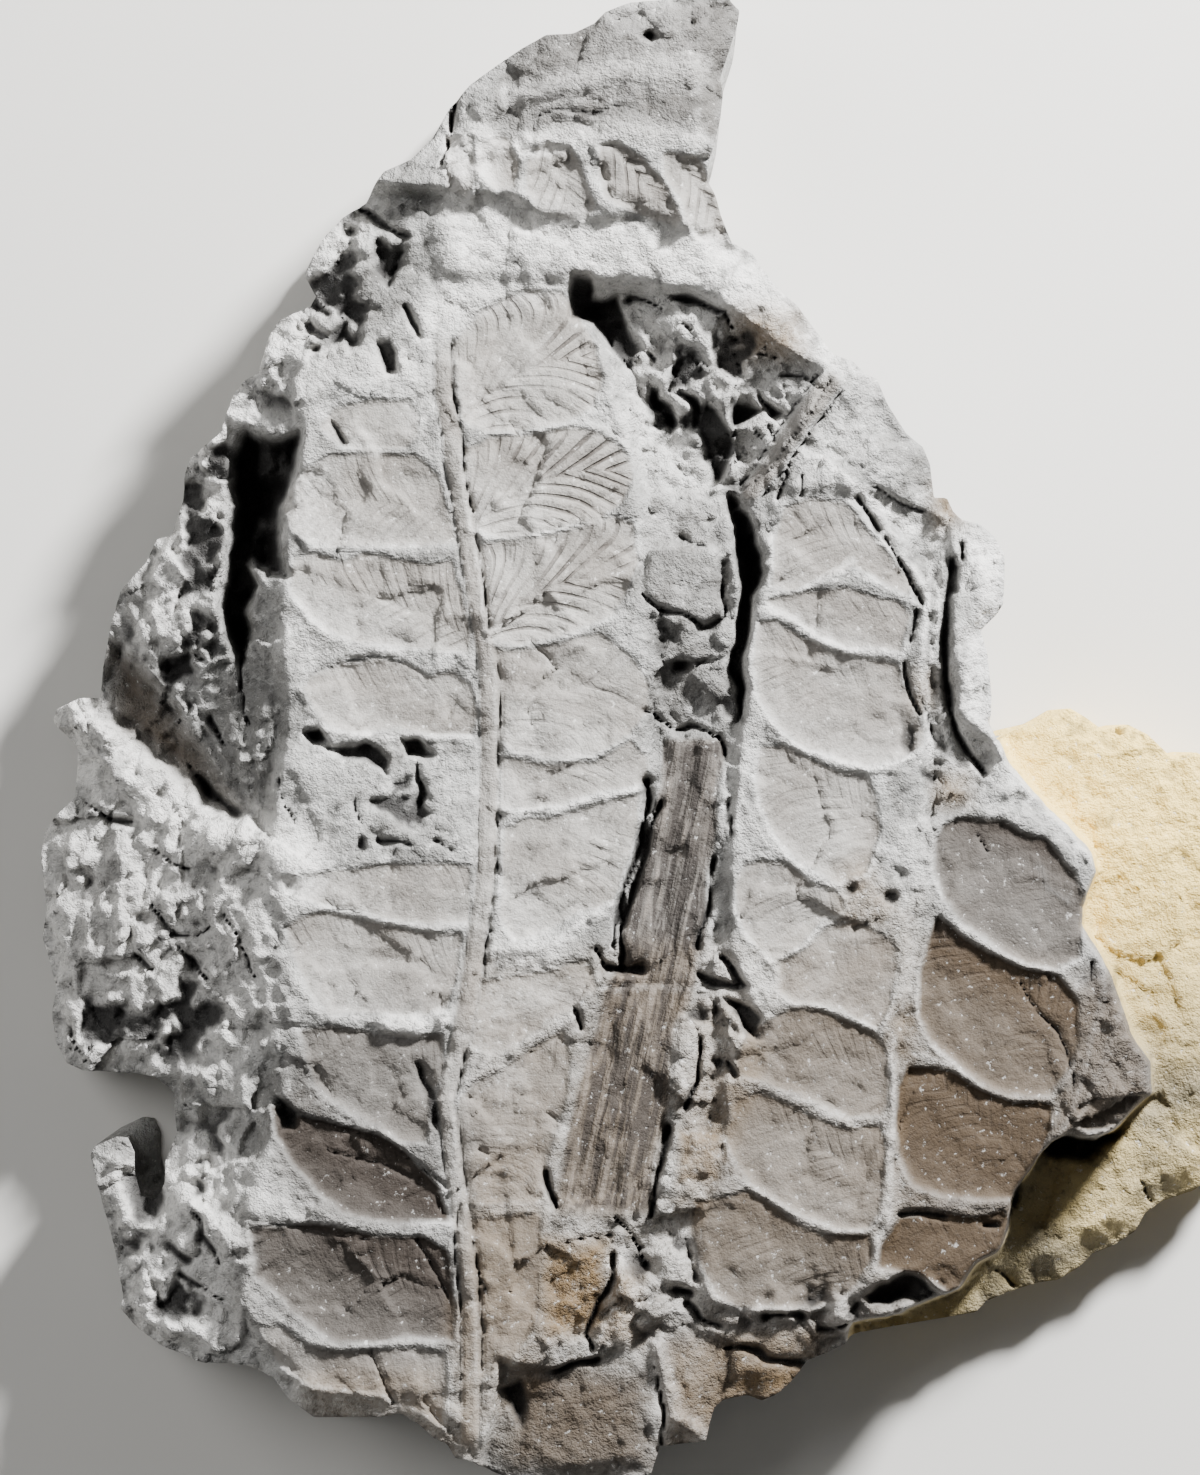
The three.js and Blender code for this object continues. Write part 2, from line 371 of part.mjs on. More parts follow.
// A closed body between the faceted field and a plane below the slab
function fieldBody() {
  const { triangles, top, foot } = facetedField();
  const faces = [];
  const edges = new Map();
  for (const [a, b, c] of triangles) {
    const [p, q, r] = [top(a), top(b), top(c)];
    const upward = (q[0] - p[0]) * (r[1] - p[1]) - (q[1] - p[1]) * (r[0] - p[0]) > 0;
    const turn = upward ? [a, b, c] : [a, c, b];
    faces.push(turn.map(top), [turn[0], turn[2], turn[1]].map(foot));
    turn.forEach((from, i) => {
      const to = turn[(i + 1) % 3];
      if (!edges.delete(`${to},${from}`)) edges.set(`${from},${to}`, [from, to]);
    });
  }
  for (const [from, to] of edges.values()) {
    faces.push([top(to), top(from), foot(from)], [top(to), foot(from), foot(to)]);
  }
  return geometryOf(faces);
}

// A closed body of the slab's outline, with its broken sides
function outlineBody() {
  const flat = OUTLINE.map(([x, y]) => new THREE.Vector2(x, y)).reverse();
  const caps = THREE.ShapeUtils.triangulateShape(flat, []);
  const rings = SIDE_RINGS.map(({ z, size, waver }, ring) => flat.map(({ x, y }) => {
    const scale = size - (waver * (1 + lumps(x, y, 3.4, 20 + ring))) / 2;
    return [x * scale, y * scale, z];
  }));
  const faces = [];
  const [lowest, highest] = [rings[0], rings.at(-1)];
  caps.forEach(([a, b, c]) => {
    faces.push([lowest[a], lowest[c], lowest[b]], [highest[a], highest[b], highest[c]]);
  });
  for (let ring = 0; ring + 1 < rings.length; ring += 1) {
    flat.forEach((_, i) => {
      const next = (i + 1) % flat.length;
      const [low, high] = [rings[ring], rings[ring + 1]];
      faces.push([low[i], low[next], high[next]], [low[i], high[next], high[i]]);
    });
  }
  return geometryOf(faces);
}

// A geometry with only positions, from a list of triangles
function geometryOf(faces) {
  const geometry = new THREE.BufferGeometry();
  geometry.setAttribute('position', new THREE.Float32BufferAttribute(faces.flat(2), 3));
  return mergeVertices(geometry, 1e-4);
}

const wasm = await Module();
wasm.setup();

// A geometry as a solid that can be cut
function solidOf(geometry) {
  return new wasm.Manifold(new wasm.Mesh({
    numProp: 3,
    vertProperties: geometry.attributes.position.array,
    triVerts: new Uint32Array(geometry.index.array),
  }));
}

// The slab: what the faceted field and the outline hold together
function slabGeometry() {
  const cut = solidOf(fieldBody()).intersect(solidOf(outlineBody())).getMesh();
  const geometry = new THREE.BufferGeometry();
  geometry.setAttribute('position', new THREE.Float32BufferAttribute(cut.vertProperties, 3));
  geometry.setIndex(new THREE.Uint32BufferAttribute(cut.triVerts, 1));
  geometry.computeVertexNormals();
  return geometry;
}

const look = { color: STONE_COLOR, roughness: 0.85, metalness: 0, flatShading: true };
const stone = new THREE.MeshStandardMaterial(look);
const slab = new THREE.Mesh(slabGeometry(), stone);
slab.name = 'fossil_slab';

const group = new THREE.Group();
group.add(slab);
export default group;
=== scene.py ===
import math

import bmesh
import bpy
import numpy as np
from mathutils import Matrix


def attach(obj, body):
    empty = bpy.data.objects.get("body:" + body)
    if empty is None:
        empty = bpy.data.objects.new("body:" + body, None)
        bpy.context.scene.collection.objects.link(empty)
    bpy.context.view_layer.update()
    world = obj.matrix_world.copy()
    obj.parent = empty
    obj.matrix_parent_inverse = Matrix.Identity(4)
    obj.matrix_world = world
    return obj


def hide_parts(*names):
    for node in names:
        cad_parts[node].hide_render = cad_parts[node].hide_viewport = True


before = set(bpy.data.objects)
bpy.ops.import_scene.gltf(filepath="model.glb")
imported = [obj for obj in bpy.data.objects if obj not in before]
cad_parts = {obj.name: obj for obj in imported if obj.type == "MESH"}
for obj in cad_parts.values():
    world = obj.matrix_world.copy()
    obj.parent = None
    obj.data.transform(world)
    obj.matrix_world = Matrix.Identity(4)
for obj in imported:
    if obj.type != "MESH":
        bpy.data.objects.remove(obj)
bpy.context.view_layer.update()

# The broken block of stone
# One hand-sized slab of fine grey siltstone, split along its bedding so that the fern lies on the upper
# face. Its edge is a fresh break, seen here from above, clockwise from the left of the block at the top.
MM = 0.001
BED_HEIGHT = 12.8
# How far a broken edge wavers, and over what span
EDGE_WAVER = 0.35
WAVER_SPAN = 3.2
OUTLINE = [
    (-20, 40.8), (-18, 41.7), (-16.5, 43.2), (-15.3, 45.3), (-13.8, 47), (-12, 48.3), (-10.2, 49.5),
    (-8.4, 50.5), (-6.5, 50.6), (-5, 51.3), (-4.2, 52.1), (-2.5, 52.8), (1, 53.1), (4.5, 53.2), (5.4, 52.3),
    (5.2, 51.2), (4.4, 48.7), (4, 47.5), (4.2, 46.3), (4, 44.5), (3.6, 42.8), (3.1, 41.2), (3.1, 40.1),
    (3.7, 39), (4, 37.8), (4.8, 35.8), (6.3, 35), (7.4, 33.4), (8.4, 32.2), (9.5, 31.3), (10.3, 30.2),
    (11.2, 29), (12.1, 27.8), (13.5, 27.3), (14.4, 26.4), (15.2, 26.1), (16, 24.2), (17.3, 22.2),
    (18.5, 21.2), (19, 20), (19.3, 17.6), (20.2, 17.6), (20.7, 16.6), (21.3, 16), (22.5, 15.7),
    (23.5, 14.9), (24.3, 13.6), (24.3, 11.5), (24.2, 10), (23.8, 9.3), (22.6, 8.1), (23.1, 6.4),
    (23.4, 3.4), (23.3, 1.4), (23.9, 0.2), (25.2, 1), (27.3, 1.5), (28.2, 2), (29.2, 2.6), (30.4, 1.9),
    (31.6, 1), (33.4, 1.4), (34.8, 0.7), (36.6, -1), (38.3, -0.6), (40.5, -1.5), (42.6, -4), (44.2, -8),
    (44.9, -13), (44.6, -19), (43.2, -25), (41.3, -29.5), (38.3, -32.2), (36, -33), (34.8, -33.8),
    (34, -35.2), (32.5, -36.2), (31, -36.8), (30, -37.8), (28.5, -38.7), (27, -38.9), (25, -39.5),
    (23.3, -40.2), (22.5, -41), (20, -41.4), (16, -42.1), (14, -42.5), (11.7, -43.6), (10.4, -44.1),
    (9.8, -44.8), (9, -45.8), (8, -46.6), (7, -47), (6, -46.6), (4.3, -46.9), (3.6, -47.5), (3.3, -48.5),
    (3, -49.9), (1, -50.1), (-0.3, -50.3), (-0.9, -52.2), (-3, -53), (-6, -53.2), (-10, -52.9),
    (-12.2, -52.1), (-13.8, -51.2), (-14.9, -51), (-15.5, -50), (-16.4, -49.6), (-17.5, -48.6),
    (-18.8, -47.8), (-20.3, -48.1), (-25, -48.1), (-26.8, -46.8), (-27.9, -45.3), (-30, -44.4),
    (-33, -44.3), (-36, -43.2), (-38, -41.8), (-39, -40.5), (-38.8, -39.7), (-39.5, -36), (-40.3, -33),
    (-41.2, -29.6), (-41, -29), (-39.3, -28.2), (-38.5, -28.3), (-38, -29.3), (-38, -31), (-37.6, -32.5),
    (-36.5, -32.8), (-35.8, -31.5), (-35.8, -30), (-35, -28), (-35.2, -25), (-36.5, -23.9),
    (-38, -23.7), (-41.8, -23.5), (-43, -23), (-43.8, -21.5), (-44.1, -19.5), (-43.8, -17.5),
    (-44.8, -14), (-44.5, -12), (-44.9, -8), (-44.6, -6.3), (-43.6, -5), (-42.4, -3.9), (-42.2, -0.3),
    (-44, 1.6), (-43.7, 2.5), (-42, 3.3), (-40.5, 3.3), (-40.3, 5.5), (-39.7, 8.6), (-39, 11), (-37.2, 13),
    (-36.4, 14.7), (-35.3, 15), (-34.6, 17), (-34.4, 19.2), (-34, 20.5), (-31.8, 22.2), (-30.8, 25),
    (-30, 26), (-29, 26.5), (-28.2, 29.2), (-27.5, 30.3), (-25.3, 31.3), (-24.9, 32), (-25.7, 33.5),
    (-25.1, 34.8), (-24.3, 36.2), (-23, 37.6), (-21.3, 38.7), (-20.8, 39.7),
]


def smoothstep(value, low, high):
    share = np.clip((value - low) / (high - low), 0, 1)
    return share * share * (3 - 2 * share)


def course_distance(points, x, y, closed=False):
    """How far each place is from a course of straight stretches."""
    nearest = np.full_like(x, np.inf)
    ends = points[1:] + points[:1] if closed else points[1:]
    for (ax, ay), (bx, by) in zip(points, ends):
        dx, dy = bx - ax, by - ay
        along = np.clip(((x - ax) * dx + (y - ay) * dy) / (dx * dx + dy * dy), 0, 1)
        nearest = np.minimum(nearest, (x - ax - along * dx) ** 2 + (y - ay - along * dy) ** 2)
    return np.sqrt(nearest)


def inside_distance(points, x, y):
    """How far each place is from an outline's edge, above zero inside it and below zero outside."""
    inside = np.zeros(x.shape, bool)
    for (ax, ay), (bx, by) in zip(points, points[1:] + points[:1]):
        if ay != by:
            inside ^= ((ay > y) != (by > y)) & (x < ax + (y - ay) / (by - ay) * (bx - ax))
    distance = course_distance(points, x, y, closed=True)
    return np.where(inside, distance, -distance)


def corner_values(ix, iy, seed):
    """A fixed value between 0 and 1 for each whole-numbered place."""
    h = ix.astype(np.int64).astype(np.uint32) * np.uint32(374761393)
    h ^= iy.astype(np.int64).astype(np.uint32) * np.uint32(668265263)
    h ^= np.uint32(seed * 1274126177 % 2**32)
    h = (h ^ (h >> np.uint32(13))) * np.uint32(1103515245)
    return (h ^ (h >> np.uint32(16))) / 2**32


def lumps(x, y, span, seed):
    """Smooth lumps between -1 and 1, a given span apart; every seed gives others."""
    gx, gy = x / span, y / span
    ix, iy = np.floor(gx), np.floor(gy)
    tx, ty = smoothstep(gx - ix, 0, 1), smoothstep(gy - iy, 0, 1)
    low = (1 - tx) * corner_values(ix, iy, seed) + tx * corner_values(ix + 1, iy, seed)
    high = (1 - tx) * corner_values(ix, iy + 1, seed) + tx * corner_values(ix + 1, iy + 1, seed)
    return 2 * ((1 - ty) * low + ty * high) - 1


def crags(x, y, span, seed, octaves=4):
    """Lumps with smaller lumps on them."""
    total = np.zeros_like(x)
    for octave in range(octaves):
        for turn in range(2):
            x, y = 0.8 * x - 0.6 * y + 17.3, 0.6 * x + 0.8 * y - 9.1
            total += 0.7 * lumps(x, y, span / 2**octave, seed + 100 * turn + octave) / 2**octave
    return total / 1.6


def chips(x, y, span, seed):
    """Flat flakes of broken stone, each with its own level and tilt."""
    gx, gy = x / span, y / span
    ix, iy = np.floor(gx), np.floor(gy)
    nearest = np.full_like(x, 9.0)
    level = np.zeros_like(x)
    for ox in (-1, 0, 1):
        for oy in (-1, 0, 1):
            cx, cy = ix + ox, iy + oy
            dx = gx - cx - corner_values(cx, cy, seed)
            dy = gy - cy - corner_values(cx, cy, seed + 1)
            tilt = (corner_values(cx, cy, seed + 2) - 0.5) * dx + (corner_values(cx, cy, seed + 3) - 0.5) * dy
            own = corner_values(cx, cy, seed + 4) - 0.5 + 1.8 * tilt
            distance = dx * dx + dy * dy
            closer = distance < nearest
            nearest = np.where(closer, distance, nearest)
            level = np.where(closer, own, level)
    return level


def at_least(layer, near, share):
    """Brings a layer up to a share wherever it is lower."""
    layer[near] = np.maximum(layer[near], share)


class UpperFace:
    """Heights and stains of the slab's upper face at many places, all in millimetres."""

    def __init__(self, x, y):
        self.x, self.y = x, y
        self.bent_x = x + EDGE_WAVER * crags(x, y, WAVER_SPAN, 31, 3)
        self.bent_y = y + EDGE_WAVER * crags(x, y, WAVER_SPAN, 41, 3)
        self.z = np.full_like(x, BED_HEIGHT)
        self.rough = np.full_like(x, 0.8)
        self.steps = np.full_like(x, 0.3)
        self.film, self.brown, self.iron, self.tan = (np.zeros_like(x) for _ in range(4))
        self.dirt, self.pale, self.striated = (np.zeros_like(x) for _ in range(3))
        self.vein_phase, self.vein_strength, self.vein_fork = (np.zeros_like(x) for _ in range(3))

    def near(self, points, reach):
        """The places that a feature can change."""
        across, up = zip(*points)
        return np.flatnonzero(
            (self.x > min(across) - reach) & (self.x < max(across) + reach)
            & (self.y > min(up) - reach) & (self.y < max(up) + reach)
        )

    def wavering(self, near, ragged):
        """The places, moved a little, so that what is measured from them comes out ragged."""
        x = self.x[near] + ragged * (self.bent_x[near] - self.x[near])
        y = self.y[near] + ragged * (self.bent_y[near] - self.y[near])
        return x, y

    def share_inside(self, near, points, edge, ragged=1.0):
        """From 0 outside an outline to 1 inside it, over its ragged edge."""
        x, y = self.wavering(near, ragged)
        return smoothstep(inside_distance(points, x, y), -edge / 2, edge / 2)

    def lay(self, points, rise, slope=(0, 0), edge=1.0, rough=0.2, steps=0.0):
        """Lays a flat-topped layer over what is there; rise is its first corner's height above the bed."""
        near = self.near(points, edge + 1)
        share = self.share_inside(near, points, edge)
        start_x, start_y = points[0]
        top = BED_HEIGHT + rise + slope[0] * (self.x[near] - start_x) + slope[1] * (self.y[near] - start_y)
        self.z[near] += share * (top - self.z[near])
        self.rough[near] += share * (rough - self.rough[near])
        self.steps[near] += share * (steps - self.steps[near])

    def break_out(self, points, depth, edge=0.8, dirt=1.0):
        """Breaks a hole out of the face."""
        near = self.near(points, edge + 1.5)
        share = self.share_inside(near, points, edge, 2.4)
        self.z[near] -= depth * share * (0.85 + 0.4 * lumps(self.x[near], self.y[near], 1.3, 57))
        self.rough[near] += share * (0.7 - self.rough[near])
        # The hole is darkened with dirt and painted shade.
        at_least(self.dirt, near, dirt * share)

    def cut(self, points, depth, width=0.7, dirt=0.6, ragged=1.0):
        """Cuts a crack or a groove along a course."""
        near = self.near(points, width + 1)
        x, y = self.wavering(near, ragged)
        width = width * (0.75 + 0.6 * ragged * lumps(self.x[near], self.y[near], 1.7, 51))
        share = 1 - smoothstep(course_distance(points, x, y) / np.maximum(width / 2, 0.12), 0, 1)
        self.z[near] -= depth * share
        # The crack is darkened with dirt and painted shade.
        at_least(self.dirt, near, dirt * share)

    def pit(self, points, depth, span, seed):
        """Scatters ragged pits over an area."""
        near = self.near(points, 2)
        noise = crags(self.bent_x[near], self.bent_y[near], span, seed)
        share = self.share_inside(near, points, 2.5) * smoothstep(noise, 0.08, 0.48)
        self.z[near] -= depth * share
        # The pits are darkened with dirt and painted shade.
        at_least(self.dirt, near, 0.85 * share)

    def raise_ridge(self, points, rise, width=1.4, ragged=1.0):
        """Raises a rib or a ridge along a course."""
        near = self.near(points, width + 1)
        x, y = self.wavering(near, ragged)
        uneven = rise * (0.8 + 0.5 * lumps(self.x[near], self.y[near], 2.3, 55))
        self.z[near] += uneven * (1 - smoothstep(course_distance(points, x, y), 0, width / 2))

    def brush(self, layer, points, width, strength=1.0):
        """Colours a stroke along a course."""
        near = self.near(points, width + 1)
        away = course_distance(points, self.bent_x[near], self.bent_y[near])
        at_least(layer, near, strength * (1 - smoothstep(away, width * 0.2, width / 2)))

    def stain(self, layer, points, strength, edge):
        """Colours an area."""
        near = self.near(points, edge + 1)
        at_least(layer, near, strength * self.share_inside(near, points, edge))


# The layers of the bedding
# The slab split along several bedding planes at once, so its upper face is a stair of thin plates with
# ragged edges: a high block at the top, a fractured slope down to the left, a lower ledge at the right.
LAYERS = {
    "left_slope": dict(rise=0.9, slope=(0.38, 0), edge=4, rough=1.0, steps=0.8, points=[
        (-24.5, 41), (-25, 32), (-27.2, 24), (-28, 12), (-27.4, 0), (-28.6, -8), (-28, -13), (-26.5, -19),
        (-28.5, -27), (-31, -34), (-30.6, -41), (-27, -46), (-27, -55), (-50, -55), (-50, 41)]),
    "frond_plate": dict(rise=0.9, edge=1.4, rough=0.3, points=[
        (-22, 36), (-12, 37.5), (-7, 33), (-5, 30), (-4, 27), (-2.5, 22.5), (-1.4, 17), (-1.5, 9),
        (-1, 3), (-1.6, -5), (-3.3, -13), (-5, -17), (-6.5, -25), (-8, -34), (-8.7, -43), (-11, -47),
        (-12.5, -53), (-19, -50), (-27, -49), (-28, -44), (-30.4, -40), (-30, -34), (-28.3, -27),
        (-26.6, -20), (-27.6, -15), (-28.4, -8), (-27.4, 0), (-27.8, 10), (-26.4, 20), (-25.4, 28)]),
    "upper_break": dict(rise=-0.9, slope=(0, -0.03), edge=1.6, rough=1.1, steps=0.7, points=[
        (-7, 35), (5, 36), (8, 33), (12, 29), (10, 25.5), (8.4, 21), (6, 18), (2.5, 18.2), (-1.4, 22),
        (-3, 26.5), (-5.4, 30)]),
    "upper_right": dict(rise=0.8, edge=1.2, rough=0.55, steps=0.3, points=[
        (12.5, 28.5), (10.5, 25), (8.5, 20), (9, 16), (14, 18.5), (20, 15.5), (21, 20), (17, 26)]),
    "upper_band": dict(rise=1.5, slope=(0, 0.04), edge=1.4, rough=0.3, points=[
        (-7, 32.9), (-3, 32.8), (0, 32.3), (3, 32.2), (4.6, 31), (6, 29.4), (9, 27.6), (14, 25.8),
        (17, 28), (9, 38), (-2, 38.6), (-15, 40), (-17, 37), (-16, 33.6), (-11, 33.4)]),
    "top_block": dict(rise=2.9, slope=(0, 0.03), edge=1.2, rough=0.6, steps=0.2, points=[
        (-23, 40), (-15, 39), (-11, 39), (-9, 37.6), (-4, 37.2), (-2, 37.8), (2, 36.4), (5, 35.6),
        (8, 40), (8, 56), (-20, 56)]),
    "stem_bed": dict(rise=0, edge=0.8, rough=0.25, points=[
        (0.2, 0.4), (-0.8, -5), (-2, -10), (-3.2, -16), (-5, -20), (-6, -24), (-7.8, -33), (-1, -33.5),
        (0, -25), (1.5, -18), (2.9, -11), (3.6, -6), (4.4, 0)]),
    "right_panel": dict(rise=0.7, edge=1.0, rough=0.24, points=[
        (8, 17.6), (7.6, 12.6), (6.6, 9.5), (6.2, 5), (5.3, 0), (4.6, -8), (4.6, -14), (6.4, -18.5),
        (4, -24), (4.4, -30), (2, -35), (3, -40), (9.5, -41), (15.5, -38.5), (16.2, -30), (17, -20),
        (18.6, -8), (19, 8), (17.5, 14.5), (12, 18.4)]),
    "right_rim": dict(rise=1.1, slope=(0.05, 0), edge=0.9, rough=0.45, steps=0.2, points=[
        (20.2, 15.6), (20.2, 10), (20.6, 6), (21, 2), (24.6, -1), (26, 10), (25, 17)]),
    "right_column": dict(rise=0.2, edge=0.8, rough=0.2, points=[
        (19.6, -5), (22, -4.2), (26, -4.5), (30.6, -9), (31.6, -16), (30, -25), (26.6, -32), (24.4, -37),
        (20, -39.6), (15.6, -38), (16.4, -30), (17.2, -20)]),
    "foot_plates": dict(rise=-0.6, slope=(0, 0.05), edge=0.8, rough=0.3, steps=0.3, points=[
        (-11.5, -44), (-8.8, -44.8), (-5, -44), (0, -41), (5, -41.4), (10.4, -41.2), (11.4, -45),
        (5, -49), (0, -52), (-8, -55), (-13, -53)]),
    "square_plate": dict(rise=0.9, edge=0.5, rough=0.12, points=[
        (-0.8, 13.8), (3.8, 14), (4, 9.5), (2.5, 8.5), (0, 9.8), (-1.3, 10.3)]),
    "ochre_ledge": dict(rise=-5.2, slope=(-0.02, 0.05), edge=0.8, rough=0.28, steps=0.1, points=[
        (23.6, 1.5), (25, -1.6), (28, -5), (30.6, -7.7), (31, -9), (29.9, -11.7), (29.8, -12.9),
        (31.5, -15.3), (32.3, -17), (33.5, -20.8), (34.9, -22.8), (34.8, -25), (32.6, -27.2), (31, -28.3),
        (29.5, -28.2), (28, -28.4), (27, -29.5), (25, -32.8), (24.8, -35), (24, -36.5), (22.5, -37.3),
        (21, -39), (19.6, -39.6), (17, -41), (13.5, -41.6), (12.5, -46), (50, -46), (50, 6), (26, 5)]),
}
STEP_HEIGHT = 0.75
LEAST_ROUGH = 0.07


def lay_bedding(face):
    """Lays the plates, then breaks them into steps, chips and crags as rough as each one is."""
    for layer in LAYERS.values():
        face.lay(**layer)
    rough = np.maximum(face.rough, LEAST_ROUGH)
    face.z += rough * 1.8 * crags(face.x, face.y, 9, 1, 3)
    split = (face.z + 0.6 * crags(face.x, face.y, 5, 61, 4)) / STEP_HEIGHT
    stepped = STEP_HEIGHT * (np.floor(split) + smoothstep(split - np.floor(split), 0.35, 0.65))
    face.z += face.steps * (stepped - split * STEP_HEIGHT)
    bent_x, bent_y = 2 * face.bent_x - face.x, 2 * face.bent_y - face.y
    face.z += rough * 1.1 * chips(bent_x, bent_y, 5.2, 71)
    face.z += rough * 0.6 * chips(bent_x, bent_y, 1.8, 81)
    face.z += (0.03 + 0.2 * rough) * crags(face.x, face.y, 1.2, 91, 3)
    face.stain(face.iron, LAYERS["ochre_ledge"]["points"], strength=1.0, edge=0.5)
